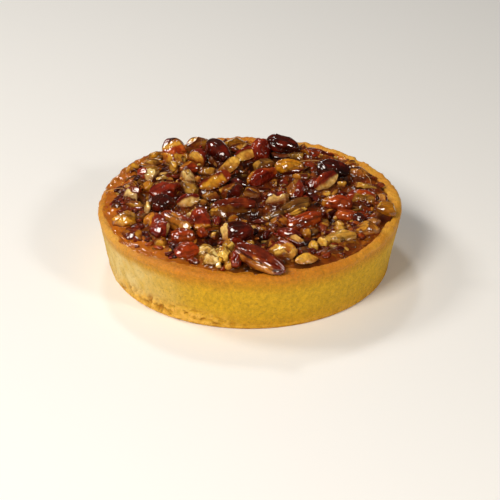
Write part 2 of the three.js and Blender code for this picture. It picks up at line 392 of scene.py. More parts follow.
def caseProfile():
    # The case's section: flat base, rounded foot, straight wall, rim of half an
    # oval, inner wall, rounded corner and floor. Gives the numbers of the points
    # where the wall and the rim begin and where the rim ends, too.
    shoulder = case["height"] - case["rimRise"]
    rimMiddle = case["rimRadius"] - case["rimWidth"] / 2
    innerTop = case["rimRadius"] - case["rimWidth"]
    footRound, innerRound = case["footRound"], case["innerRound"]
    footMiddle = case["baseRadius"] - footRound
    cornerR = case["baseRadius"] - case["rimWidth"] + case["innerLean"] - innerRound
    cornerZ = case["floor"] + innerRound
    foot = np.concatenate([
        line((case["firstRing"], 0), (footMiddle, 0), 8),
        arc(footMiddle, footRound, footRound, footRound, -90, 0, 7)[1:],
    ])
    profile = np.concatenate([
        foot,
        line((case["baseRadius"], footRound), (case["rimRadius"], shoulder), case["wallSteps"] + 1)[1:],
        arc(rimMiddle, shoulder, case["rimWidth"] / 2, case["rimRise"], 0, 180, case["rimSteps"] + 1)[1:],
        line((innerTop, shoulder), (cornerR + innerRound, cornerZ), 8)[1:],
        arc(cornerR, cornerZ, innerRound, innerRound, 0, -90, 4)[1:],
        line((cornerR, case["floor"]), (case["firstRing"], case["floor"]), 5)[1:],
    ])
    rimStart = len(foot) + case["wallSteps"]
    return profile, len(foot), rimStart, rimStart + case["rimSteps"]


def widen(rings, profile):
    # Moves the inner side of the rim inwards where it is rolled wider.
    x, y = rings[..., 0], rings[..., 1]
    halfRim = case["rimWidth"] / 2
    onRim = np.abs(profile[:, 1] - case["height"]) < case["rimRise"] + 1
    inward = (case["rimRadius"] - halfRim - profile[:, 0]) / halfRim * onRim
    wider = case["frontWidth"] * frontShare(x, y)
    wider = wider + case["rightWidth"] * sideShare(x, y, case["rightSide"], case["rightSpan"])
    wider = wider * np.maximum(inward, 0)[None, :, None]
    rings[..., :2] *= (1 - wider / np.maximum(np.hypot(x, y), 1))[..., None]


def bakeShares(x, y, z, low, lumps):
    # How much each point shows of the pale wall, partly a painted sheen, of the coarse
    # crumb, lighter on its lumps as partly painted light, and the painted shade in its
    # pits, and of the golden rim, lighter on the right partly as painted light, from 0
    # to 1. The pale stretch climbs as it goes round, and fades towards the rim.
    angle = np.degrees(np.arctan2(y, x)) % 360
    # Paler stretch: partly paler pastry, partly a painted sheen
    pale = smoothStep(angle, *case["paleFrom"]) * (1 - smoothStep(angle, *case["paleTo"]))
    climbed = z + case["paleClimb"] * (case["paleFootSide"] - angle)
    pale = pale * smoothStep(climbed, *case["paleFoot"])
    rimFade = (0.85 - 0.25 * smoothStep(-x, 60, 74)) * smoothStep(z, *case["paleTop"])
    pale = pale * (1 - rimFade) * (0.6 + 0.35 * layered(x, y, 0.6 * z, 4, 43, 4))
    # Orange crumb, shown more on its lumps: partly painted light on the lumps' tops
    coarse = np.clip(low * (0.45 + 0.9 * smoothStep(lumps, -0.1, 0.4)), 0, 1)
    # Painted shade in the pits of the coarse crumb
    pitShade = 0.75 * np.clip(low * smoothStep(-lumps, 0.08, 0.5), 0, 1)
    # The rim is lighter on its right side, partly as painted light, and golden on part of the left
    onRight = 1 - smoothStep(apart(angle, case["goldenSide"]), *case["goldenSpan"])
    onLeft = 0.9 * (1 - smoothStep(apart(angle, case["goldenLeft"]), *case["goldenLeftSpan"]))
    golden = np.maximum(onRight, onLeft) * smoothStep(z, 27, 30)
    golden = golden * (0.6 + 0.4 * layered(x, y, z, 5, 47))
    shares = {"coarse": coarse, "pale": pale, "pitShade": pitShade, "golden": golden}
    return {title: np.append(array.ravel(), [0, 0]) for title, array in shares.items()}


def pastrySurface():
    # The section, turned and made uneven, then moved along its normal by finger
    # hollows and fine crumb, by nicks, roughness and a crease on the rim, and by
    # coarse crumb at the foot of one side. Gives the wall's top and the rim, with
    # their normals, as the ground of the caramel film.
    profile, wallStart, rimStart, rimEnd = caseProfile()
    rings = uneven(turned(profile, case["around"]))
    slope = np.gradient(profile, axis=0)
    slope /= np.linalg.norm(slope, axis=1)[:, None]
    normal = turned(np.stack([slope[:, 1], -slope[:, 0]], -1), case["around"])
    widen(rings, profile)
    x, y, z = rings[..., 0], rings[..., 1], rings[..., 2]
    outside = np.zeros(len(profile))
    outside[wallStart:rimEnd] = 1
    outside = outside[None, :, None] * smoothStep(z, 0.2, 2)
    onRim = smoothStep(z, *case["rimFrom"])
    pressed = case["pressed"] * noise(x, y, z * 0.7, 17, 1) * (1 - 0.4 * onRim)
    grain = case["grain"] * (layered(x, y, z * 0.8, 2.4, 5) + 0.5 * noise(x, y, z, 0.9, 9))
    grain = grain * (1 + 0.8 * smoothStep(-x, 10, 50))
    away = apart(np.degrees(np.arctan2(y, x)) % 360, case["crumbleSide"])
    low = (1 - smoothStep(z, *case["crumbleHeight"])) * (1 - smoothStep(away, *case["crumbleSpan"]))
    low = low + 0.25 * (1 - smoothStep(z, 0, 5))
    lumps = layered(x, y, z, 2.0, 25)
    crumble = case["crumble"] * low * (lumps - 0.8 * smoothStep(-lumps, 0.05, 0.4))
    nicks = -case["nicks"] * onRim * smoothStep(noise(x, y, z * 0.4, 3.2, 31), 0.55, 0.9)
    ragged = case["ragged"] * onRim * layered(x, y, 0 * z, 3.4, 35) * (1 + 1.6 * smoothStep(y, 0, 50))
    offFold = np.hypot(x, y) - case["foldRadius"] + 0.9 * noise(x, y, 0 * z, 12, 37)
    fold = np.exp(-(offFold / case["foldWidth"]) ** 2)
    fold = -case["fold"] * fold * frontShare(x, y) * (0.7 + 0.6 * noise(x, y, 0 * z, 9, 39))
    shares = bakeShares(x, y, z, low, lumps)
    rings = rings + normal * (outside * (pressed + grain + crumble + nicks + ragged + fold))[..., None]
    rings[..., 2] = np.maximum(rings[..., 2], 0)
    poles = np.array([[[0.0, 0.0, 0.0]], [[0.0, 0.0, case["floor"]]]])
    top = slice(rimStart - case["filmRings"], rimEnd + 1)
    return closedSurfaces(rings, *poles), shares, (rings[0, top], normal[0, top])


def shortcrust():
    # Egg-rich shortcrust, baked in a tin: a matt, fine crumb, golden on the
    # wall, orange-brown along the rim and a little oily where it is browned.
    material, tree, shader = newMaterial("shortcrust", {"IOR": 1.45, "Specular IOR Level": 0.2})
    place = addNode(tree, "TexCoord").outputs["Object"]
    parts = addNode(tree, "SeparateXYZ", Vector=place)
    # Height, shifted by up to 3 mm of noise, runs through the bake colours
    wobble = addNode(
        tree, "TexNoise", {"Scale": perMetre / 14, "Detail": 4, "Roughness": 0.6}, Vector=place)
    shift = addNode(
        tree, "Math", {"operation": "MULTIPLY_ADD", 1: 6.0, 2: -3.0}, i0=wobble.outputs["Fac"])
    height = addNode(
        tree, "Math", {"operation": "MULTIPLY_ADD", 1: perMetre},
        i0=parts.outputs["Z"], i2=shift.outputs[0])
    baked = addNode(tree, "MapRange", {"From Max": 34.0}, Value=height.outputs[0])
    stops = [
        (0.00, "#ca901c"), (0.10, "#d09d1c"), (0.30, "#d2a41e"), (0.62, "#d4a620"),
        (0.76, "#cc921c"), (0.85, "#c8821c"), (0.93, "#c4761c"), (1.00, "#be6e1a"),
    ]
    ramp = addNode(tree, "ValToRGB", {"stops": stops}, Fac=baked.outputs[0])
    # Fine upright mottling from the tin, about 2 mm wide
    stretch = addNode(tree, "Mapping", {"Scale": (1, 1, 0.75)}, Vector=place)
    mottle = addNode(
        tree, "TexNoise", {"Scale": perMetre / 1.8, "Detail": 5, "Roughness": 0.75},
        Vector=stretch.outputs[0])
    mottleShade = addNode(
        tree, "MapRange", {"From Min": 0.3, "From Max": 0.7, "To Min": 0.72, "To Max": 1.24},
        Value=mottle.outputs["Fac"])
    shaded = addNode(
        tree, "VectorMath", {"operation": "SCALE"}, i0=ramp.outputs["Color"],
        Scale=mottleShade.outputs[0])
    # A paler stretch of the wall, partly less baked pastry and partly a painted sheen,
    # orange crumb at the foot, lighter on its lumps as partly painted light, with
    # painted shade in its pits, and the golden side of the rim, partly painted light
    bakes = {"pale": "#ead392", "coarse": "#f0ba4c", "pitShade": "#a8681a", "golden": "#e4a83a"}
    layers = []
    for title, tone in bakes.items():
        share = addNode(tree, "Attribute", {"attribute_name": title})
        layers.append((share.outputs["Fac"], tone))
    # Darker olive specks of bran, about 1 mm apart
    specks = addNode(
        tree, "TexNoise", {"Scale": perMetre / 1.1, "Detail": 2}, Vector=stretch.outputs[0])
    speckShare = addNode(
        tree, "MapRange", {"From Min": 0.58, "From Max": 0.7, "To Max": 0.45},
        Value=specks.outputs["Fac"])
    layers.append((speckShare.outputs[0], "#9a7426"))
    tree.links.new(overlaid(tree, shaded.outputs[0], layers), shader.inputs["Base Color"])
    # Browned pastry is smoother and glossier than the wall
    gloss = addNode(
        tree, "MapRange", {"From Min": 0.8, "From Max": 0.95, "To Min": 0.62, "To Max": 0.36},
        Value=baked.outputs[0])
    tree.links.new(gloss.outputs[0], shader.inputs["Roughness"])
    crumb = addNode(tree, "TexNoise", {"Scale": perMetre / 0.8, "Detail": 3}, Vector=place)
    bump = addNode(
        tree, "Bump", {"Strength": 0.9, "Distance": 0.6 * mm}, Height=crumb.outputs["Fac"])
    tree.links.new(bump.outputs[0], shader.inputs["Normal"])
    return material


surface, values, filmGround = pastrySurface()
makePiece("pastry", surface, shortcrust(), values, ["pastry_case"])
print("pastry case made")

# Pecans: name, how it is broken, the place of its middle with the height above
# the crest, its length, width and height, then turn, tip and roll in degrees,
# and its tone. A half has two whole ends, a chunk is broken across its +x end,
# a lobe is split lengthwise with its cut on the -y side, and a flake is thin.
topping = [
    ("front_half", "half", (5, -65, 4.2), (29, 11.5, 8.5), (-36, -9, 8), "mahogany"),
    ("back_dome", "half", (-16, 49, 5), (18.5, 11, 9.5), (-55, -14, 0), "mahogany"),
    ("back_top", "half", (17.5, 55.5, 5.6), (18, 12, 9), (-20, -8, 0), "mahogany"),
    ("back_red", "half", (5, 51, 4.5), (16, 12, 10), (75, 8, 0), "red"),
    ("back_knob", "chunk", (-40, 52, 5.5), (13, 12, 10), (-70, -8, 0), "tan"),
    ("back_curl", "lobe", (-27, 59, 4.5), (13, 8, 8), (15, 8, -20), "tan"),
    ("back_cream", "chunk", (-27, 42.5, 4.2), (13, 10, 8.5), (-105, -10, 0), "red"),
    ("slice_long", "lobe", (-11, 31.5, 4.5), (15, 9.5, 7.5), (40, 18, -46), "orange"),
    ("slice_upper", "lobe", (-1.5, 45, 5), (14, 7.5, 7), (25, 10, -42), "orange"),
    ("oval_split", "lobe", (-17.5, 15, 4.6), (18, 9.5, 8.5), (30, 12, -40), "brown"),
    ("right_dark", "half", (42.5, 30, 4), (19, 12, 9), (-15, -4, 0), "mahogany"),
    ("right_slice", "lobe", (39, 15.5, 4.5), (16, 8, 8), (42, 14, -22), "red"),
    ("right_orange", "half", (43.5, -8, 4), (16.5, 10, 8), (-15, -3, 0), "orange"),
    ("right_cup", "half", (56, -2, 3.6), (15, 11, 8), (-15, 0, 0), "red"),
    ("right_sliver", "flake", (59.5, 12.5, 2.9), (16, 7.5, 3.5), (-28, 0, -25), "tan"),
    ("right_lobe", "lobe", (65.5, -1.5, 2.6), (11, 7, 6), (-75, 0, 0), "red"),
    ("right_rim", "chunk", (67.5, -13.5, 3), (14, 9, 7), (165, -3, 0), "tan"),
    ("right_amber", "chunk", (56, -32, 2.5), (12, 10, 6.5), (25, 0, 0), "orange"),
    ("broken_back", "chunk", (14, -3, 4), (12, 13, 8), (-80, -4, 0), "red"),
    ("ridge_upright", "half", (23, 6, 4.5), (14, 9, 8), (80, 6, 0), "tan"),
    ("ridge_tan", "half", (24, -9.5, 2.6), (20, 9, 7), (30, 5, 18), "olive"),
    ("ridge_orange", "half", (26.5, -25.5, 3.6), (20, 11, 8.5), (30, 6, 0), "orange"),
    ("ridge_brown", "chunk", (14.5, -25, 2.2), (11, 8, 6), (30, 0, 0), "brown"),
    ("middle_edge", "half", (6.5, 20.5, 4.4), (18, 10, 8), (38, 9, -10), "brown"),
    ("middle_grey", "chunk", (8, 35.5, 3.2), (11, 8, 7), (-160, 0, 0), "olive"),
    ("middle_orange", "half", (20.5, 32, 4), (15, 9, 8), (-8, 0, 0), "yellow"),
    ("back_flat", "flake", (32.5, 55, 2), (16, 9, 4.5), (-15, 0, 0), "orange"),
    ("right_flat", "flake", (57.5, 28, 2), (16, 9, 4.5), (-35, 0, 0), "brown"),
    ("centre_long", "half", (-7, -11.5, 3.6), (24, 10, 8), (6, 0, 12), "brown"),
    ("centre_tan", "chunk", (-8, 8, 3), (12, 9, 7), (-150, 0, 0), "tan"),
    ("left_maroon", "half", (-42, 5, 4.6), (17, 11, 9), (22, 3, 0), "red"),
    ("left_dark", "half", (-43, -8.5, 4), (14, 10, 9), (12, 0, 0), "mahogany"),
    ("left_crescent", "lobe", (-30.5, -6, 4), (12, 7, 7), (22, 8, -20), "red"),
    ("left_amber", "chunk", (-31.5, 10, 3.5), (11, 9, 7), (-25, 0, 0), "olive"),
    ("left_white", "chunk", (-31.5, 23, 3.5), (9, 8, 7), (-80, -5, 0), "cream"),
    ("left_back", "chunk", (-32, 33.5, 3), (10, 8, 6.5), (10, 0, 0), "orange"),
    ("left_cream", "chunk", (-51, 26, 3.8), (12, 10, 8), (-120, 0, 0), "flesh"),
    ("left_bright", "chunk", (-59, 3.0, 3.4), (12.5, 7.8, 7.2), (-100, 0, 0), "flesh"),
    ("left_double", "chunk", (-61, -21, 2.7), (11, 12, 7), (-95, 0, 0), "yellow"),
    ("left_long", "chunk", (-36, -25.5, 3.5), (18, 10, 8), (-40, -6, 0), "brown"),
    ("left_mixed", "chunk", (-46, -25, 3), (11, 9, 7), (160, 0, 0), "orange"),
    ("left_shine", "chunk", (-44, -35, 3.4), (9, 9, 7.5), (-10, 0, 0), "red"),
    ("front_orange", "half", (-31.5, -39.5, 2.4), (14, 9, 7), (8, 0, 0), "brown"),
    ("front_brown", "half", (-29.5, -53.5, 2.5), (13, 10, 7.5), (8, 0, 0), "brown"),
    ("front_red", "chunk", (-24, -24, 3.5), (14, 10, 8), (-80, -12, 0), "red"),
    ("centre_shine", "lobe", (-16, -19.5, 3.3), (11, 7, 6), (-45, 0, -20), "tan"),
    ("centre_dark", "chunk", (-5, -40, 5), (15, 12, 10), (-160, 5, 0), "mahogany"),
    ("front_rim", "lobe", (-6, -48, 2.6), (14, 7, 6), (3, 0, -20), "red"),
    ("cluster_front", "chunk", (-17, -61.5, 2.9), (8, 8, 6.5), (-100, 0, 0), "cream"),
    ("cluster_right", "chunk", (-12.2, -58, 3), (9, 7, 7.5), (-95, 0, 0), "flesh"),
    ("front_small", "chunk", (-6.5, -64.5, 2.6), (9, 6.5, 7.5), (85, 0, 0), "mahogany"),
    ("front_lobed", "chunk", (14.5, -54.5, 4), (14, 12, 9), (-50, -8, 0), "flesh"),
    ("front_dark", "chunk", (21.5, -46, 3), (9, 8, 7), (20, 0, 0), "mahogany"),
    ("front_oval", "lobe", (27, -62, 2.2), (11.5, 7, 5.5), (20, 0, -45), "flesh"),
    ("front_cream", "half", (44.5, -41.5, 3.2), (14.5, 8.5, 7), (8, 0, 0), "flesh"),
    ("back_rough", "lobe", (-7.5, 60.5, 3.5), (14, 8, 6.5), (5, 0, -10), "tan"),
]
# Smaller pieces between them, in the same form.
smaller = [
    ("backYellow", "flake", (-50, 48, 2.6), (10, 6, 4), (35, 8, 0), "yellow"),
    ("knobLower", "chunk", (-41, 46, 2.6), (13, 10, 7), (-15, 0, 0), "orange"),
    ("knobTan", "lobe", (-40, 36, 2.4), (8, 7, 6), (-60, 0, -20), "tan"),
    ("oliveFlake", "flake", (-51.5, 38.5, 2.2), (12, 6, 3.5), (28, 5, -15), "olive"),
    ("rimOrange", "chunk", (-61.5, 33, 2.0), (9, 6, 5), (50, 0, 0), "orange"),
    ("creamSliver", "flake", (-44.5, 20.5, 3.6), (7, 2.6, 1.8), (12, 8, 0), "cream"),
    ("underCream", "chunk", (-51.5, 14.5, 2.2), (7, 6, 5), (-70, 0, 0), "yellow"),
    ("backBrown", "chunk", (-22.5, 31, 2), (9, 6, 5), (-10, 0, 0), "tan"),
    ("uprightSliver", "flake", (-26.5, 21.5, 2.6), (8, 4, 3), (-70, 20, 0), "orange"),
    ("splitUnder", "chunk", (-20, 3.5, 1.2), (10, 7, 5), (10, 0, 0), "brown"),
    ("underTop", "chunk", (17, 52, 1.4), (12, 8, 6), (0, 0, 0), "mahogany"),
    ("oliveGreen", "chunk", (24, 49.5, 1.6), (8, 5, 4), (-10, 0, 0), "olive"),
    ("backSheet", "flake", (38, 53, 1), (13, 7, 2.5), (-25, 0, 0), "orange"),
    ("yellowWedge", "chunk", (46.5, 17, 1.9), (5, 4, 4), (-40, 0, 0), "tan"),
    ("slopeOrange", "half", (47.5, -17.5, 2), (14, 8, 5.5), (-18, 0, -10), "orange"),
    ("creamDrop", "chunk", (43.5, -25, 1.4), (5.5, 4, 3.6), (-60, 0, 0), "flesh"),
    ("backFilm", "flake", (53, 39.5, 0.9), (12, 6, 2.4), (-38, 0, 0), "orange"),
    ("leftYellow", "chunk", (-66.5, -7, 1), (5, 5, 4), (-60, 0, 0), "yellow"),
    ("leftTan", "chunk", (-57.5, -6, 1.6), (9, 6, 4), (-15, 0, 0), "tan"),
    ("leftSide", "lobe", (-51, -10, 2.4), (8, 4.5, 6), (-80, 0, -20), "cream"),
    ("underGlaze", "chunk", (-56.3, -36.5, 1.4), (12, 8, 5), (-15, 0, 0), "orange"),
    ("smallAmber", "chunk", (-42.5, -45.5, 2), (7, 6, 5.5), (-90, 0, 0), "yellow"),
    ("leftSmear", "flake", (-39.5, -50.5, 0.6), (8, 5, 2.5), (-5, 0, 0), "brown"),
    ("redUnder", "chunk", (-24.5, -10.5, 1.6), (9, 7, 5), (-20, 0, 0), "brown"),
    ("amberRound", "half", (-8, -21.5, 2), (5.5, 5, 4), (0, 0, 0), "yellow"),
    ("tanCurl", "flake", (-3, -22.5, 1.8), (7, 3, 2.4), (-35, 0, 0), "tan"),
    ("orangeRound", "half", (-22.5, -38, 3.2), (6.5, 6, 5.5), (-80, 0, 0), "orange"),
    ("creamKnob", "lobe", (-16, -38.5, 2.4), (7, 4.5, 4.5), (60, 0, -10), "flesh"),
    ("creamBead", "half", (0.5, -48, 2.8), (4, 3.6, 3.4), (0, 0, 0), "cream"),
    ("clusterLeft", "chunk", (-20, -52, 2.4), (7, 6.5, 5), (-110, 0, 0), "cream"),
    ("clusterTop", "chunk", (-15.5, -55.5, 2.2), (5.5, 5, 4.5), (-60, 0, 0), "cream"),
    ("clusterBack", "chunk", (-9.5, -51, 3.2), (7, 6, 6), (-100, 0, 0), "flesh"),
    ("clusterLow", "chunk", (-9.5, -65.5, 1.6), (5, 4.5, 4.5), (-90, 0, 0), "flesh"),
    ("clusterEdge", "chunk", (-21, -58, 1), (4.5, 4, 3.5), (-150, 0, 0), "flesh"),
    ("clusterChip", "chunk", (-20.2, -62, 1.6), (4.2, 3.6, 3.4), (-60, 10, 0), "flesh"),
    ("clusterMiddle", "chunk", (-13.6, -62.6, 2.4), (4.4, 3.6, 3.6), (-130, 0, 0), "yellow"),
    ("clusterHigh", "chunk", (-17.6, -57.4, 3.6), (4.4, 4.2, 3.6), (-80, 15, 0), "cream"),
    ("clusterSide", "chunk", (-22.6, -54.6, 1.6), (3.8, 3.2, 3.2), (-20, 0, 0), "cream"),
    ("clusterCrumb", "chunk", (-14.2, -65.6, 1.4), (3.4, 3.0, 2.8), (-100, 0, 0), "cream"),
    ("sliverUpper", "flake", (-1.5, -13.5, 2.2), (15, 4, 2.6), (2, 3, -15), "olive"),
    ("sliverMiddle", "flake", (6, -24.5, 1.8), (15, 3, 2.2), (-22, 0, 0), "brown"),
    ("sliverLower", "flake", (4, -31.5, 1.6), (11, 3, 2.2), (-12, 0, 0), "tan"),
    ("sliverRidge", "flake", (25, -17, 4.2), (12, 3.4, 2.4), (24, 6, -10), "tan"),
    ("sliverLong", "flake", (12.5, -17.5, 2.6), (18, 4, 3), (26, 5, -10), "olive"),
    ("ridgeUnder", "chunk", (27, -34.5, 1.8), (7, 6.5, 5), (-60, 0, 0), "orange"),
    ("frontTan", "chunk", (30.5, -47.5, 2), (5.5, 5, 6), (-90, 0, 0), "tan"),
    ("darkBack", "half", (19.5, -37, 2.4), (13, 6, 5), (-22, 0, 0), "red"),
    ("creamRight", "chunk", (36.5, -44.5, 2.8), (7.5, 6, 6), (-120, 0, 0), "flesh"),
    ("creamBar", "chunk", (41.5, -39.5, 3), (7, 5, 4.5), (10, 0, 0), "flesh"),
    ("creamDot", "chunk", (40, -48.5, 1.4), (4.5, 4, 3.5), (-30, 0, 0), "cream"),
    ("rightSmear", "flake", (40.5, -52, 0.5), (14, 5, 2.2), (5, 0, 0), "tan"),
    ("nutSmear", "flake", (26, -51.5, 1.2), (10, 5, 2.5), (-10, 0, 0), "olive"),
    ("leftFront", "chunk", (-35.5, -49.5, 1.8), (7, 6, 5), (-40, 0, 0), "mahogany"),
    ("edgeTan", "chunk", (46.5, -46.5, 0.6), (8, 5, 3), (10, 0, 0), "tan"),
    ("darkMiddle", "chunk", (-7, 17.5, 1.8), (10, 8, 5), (10, 0, 0), "mahogany"),
    ("darkCentre", "lobe", (0.5, 6.5, 2.0), (12, 7, 5.5), (-20, 0, -20), "brown"),
    ("rightMiddle", "lobe", (30.5, 2.5, 1.6), (11, 7, 5), (-40, 0, 0), "mahogany"),
    ("rightBrown", "chunk", (60, -24.5, 1.8), (7, 6, 5), (-30, 0, 0), "red"),
    ("rightRed", "chunk", (53, -19, 1.6), (9, 7, 5), (-60, 0, 0), "red"),
    ("backAmber", "chunk", (-6, 57.5, 2.2), (9, 7, 5), (0, 0, 0), "brown"),
    ("knobSide", "chunk", (-34, 49.5, 2), (9, 6, 6), (-60, 0, 0), "brown"),
    ("underDome", "chunk", (-22, 45.5, 1.2), (9, 7, 5), (-40, 0, 0), "mahogany"),
    ("midBrown", "chunk", (26, 26, 1.6), (9, 6, 5), (-20, 0, 0), "brown"),
    ("midRed", "chunk", (32, 17, 2.2), (8, 6, 6), (40, 0, 0), "red"),
    ("tanGap", "chunk", (-13.5, -4.5, 1.8), (8, 5, 4), (0, 0, 0), "brown"),
]
# Level of the caramel
caramel = {
    "edgeDrop": 0.6,  # from the crest down to the caramel's edge
    "gap": 0.1,  # between it and the pastry's inner side
    "lip": 1.5,  # how far its edge reaches into the rim's curve
    "lowSide": 45,  # the side where it lies lower
    "lowSpan": (10, 55),
    "lowDrop": 1.4,
    "dome": 0.4,
    "relief": 0.6,  # height of the gentle swells
    "bed": 1.2,  # height of the chopped nuts under the film
    "grain": 0.25,  # height of the finest of them
    "sink": 1.3,  # how far it lies lower between the pecans
    "creep": 2.9,  # how far it climbs up a pecan
    "creepWidth": 1.5,
    "creepSmall": 0.5,  # how much of that it does on a smaller pecan
    "hollow": 1.6,  # how much deeper it lies in the gaps
    "meniscus": 0.12,
    "meniscusWidth": 1.1,
    "frontDrop": 1.3,  # how much lower it meets the wider rim
    "rings": 150,
    "around": 540,
}
caramelEdge = case["rimRadius"] - case["rimWidth"] - caramel["gap"]
# Gaps that go deep between the pecans: x, y and radius
hollows = [
    (16.8, -61.9, 2.4), (3.7, -44.3, 4.5), (65.4, -19.5, 5.5), (-17.4, -43.3, 5.5), (-1.0, -67, 3.0),
    (-35, 2, 4.0), (-19.5, 41, 5.0), (-6.3, 25.8, 8.0), (-16.5, 1.4, 6.0), (49, 23.6, 6.0), (13.6, 52, 5.5),
    (33.9, -15.7, 4.5), (-9.8, 11, 6.0), (6.2, -36.3, 4.0), (24.6, -32.3, 5.0), (3.0, 40, 5.5), (2, 2, 5.0),
    (20, -51.5, 3.5), (23, -40, 3.5), (-9, -31.5, 4.0), (-21, 34, 5.0), (16, -43.5, 3.0), (8.5, -67, 2.5),
    (-9, 46, 4.5), (-24, -48, 3.0), (-33, 0.5, 3.5), (-25, -26.5, 3.5), (-14, 23, 4.5), (-35, 27, 3.5),
    (39.8, -17.6, 3.5), (15, 44.7, 4.0), (-3.6, -16.6, 4.0), (32, 5, 3.5), (-21, -7, 4.5), (-21.8, 6, 3.5),
    (0.9, 28.4, 4.0), (-7.3, 21.6, 4.0), (-54.8, -1, 3.0), (-45, 36, 3.0), (-25, 31, 3.5),
    (-18.5, 26, 4.0), (5, -15.5, 5.0), (-49, -16.5, 4.0), (20, -6, 4.0), (-34, 37, 3.5), (-23.5, 17.5, 3.5),
]


def hollowShare(x, y):
    # 1 in the middle of a gap, falling off as a bell curve. It also sets where painted shade darkens the
    # gaps.
    share = np.zeros_like(x)
    for middleX, middleY, radius in hollows:
        share = np.maximum(share, np.exp(-((x - middleX) ** 2 + (y - middleY) ** 2) / radius ** 2))
    return share


def cling(x, y):
    # 1 at the foot of a pecan, or less for a smaller one, falling off with the
    # distance from its oval.
    nearest = np.zeros_like(x)
    for k, (_, _, place, size, angles, _) in enumerate(topping + smaller):
        turn = math.radians(angles[0])
        dx, dy = x - place[0], y - place[1]
        along = (dx * math.cos(turn) + dy * math.sin(turn)) / (size[0] / 2)
        aside = (dy * math.cos(turn) - dx * math.sin(turn)) / (size[1] / 2)
        outside = (np.hypot(along, aside) - 0.9) * size[1] / 2
        part = 1 if k < len(topping) else caramel["creepSmall"]
        nearest = np.maximum(nearest, part * np.exp(-np.maximum(outside, 0) / caramel["creepWidth"]))
    return nearest


def caramelHeight(x, y):
    # A low dome with gentle swells, lower on one side and by the wider rim. It is
    # raised by the chopped bed, by the caramel that clings to each pecan and by
    # the meniscus against the rim, and sunk in the gaps.
    radius = np.hypot(x, y)
    share = np.minimum(radius / caramelEdge, 1)
    inside = 1 - share ** 4
    foot, front = cling(x, y), frontShare(x, y)
    low = caramel["lowDrop"] * sideShare(x, y, caramel["lowSide"], caramel["lowSpan"]) * share ** 3
    height = case["height"] - (caramel["edgeDrop"] + low) + caramel["dome"] * (1 - share ** 2)
    swell = np.sin(0.13 * x + 1) * np.cos(0.11 * y - 0.5) + 0.5 * np.sin(0.27 * x - 0.23 * y)
    height = height + caramel["relief"] * swell * inside
    bed = layered(x, y, 0 * x, 5.5, 61) + 0.45 * layered(x, y, 0 * x, 1.9, 67)
    height = height + caramel["bed"] * (0.65 + 0.75 * bed) * (1 - smoothStep(share, 0.92, 1))
    climb = foot * (1 - 0.45 * front * smoothStep(share, 0.78, 0.93))
    height = height + caramel["creep"] * climb - caramel["sink"] * (1 - smoothStep(share, 0.7, 0.95))
    toEdge = caramelEdge - np.minimum(radius, caramelEdge)
    height = height + caramel["meniscus"] * np.exp(-toEdge / caramel["meniscusWidth"])
    height = height - caramel["frontDrop"] * front * smoothStep(share, 0.84, 0.97)
    height = height - caramel["hollow"] * hollowShare(x, y) * (1 - foot) * inside
    return height + caramel["grain"] * layered(x, y, 0 * x, 2.6, 69)


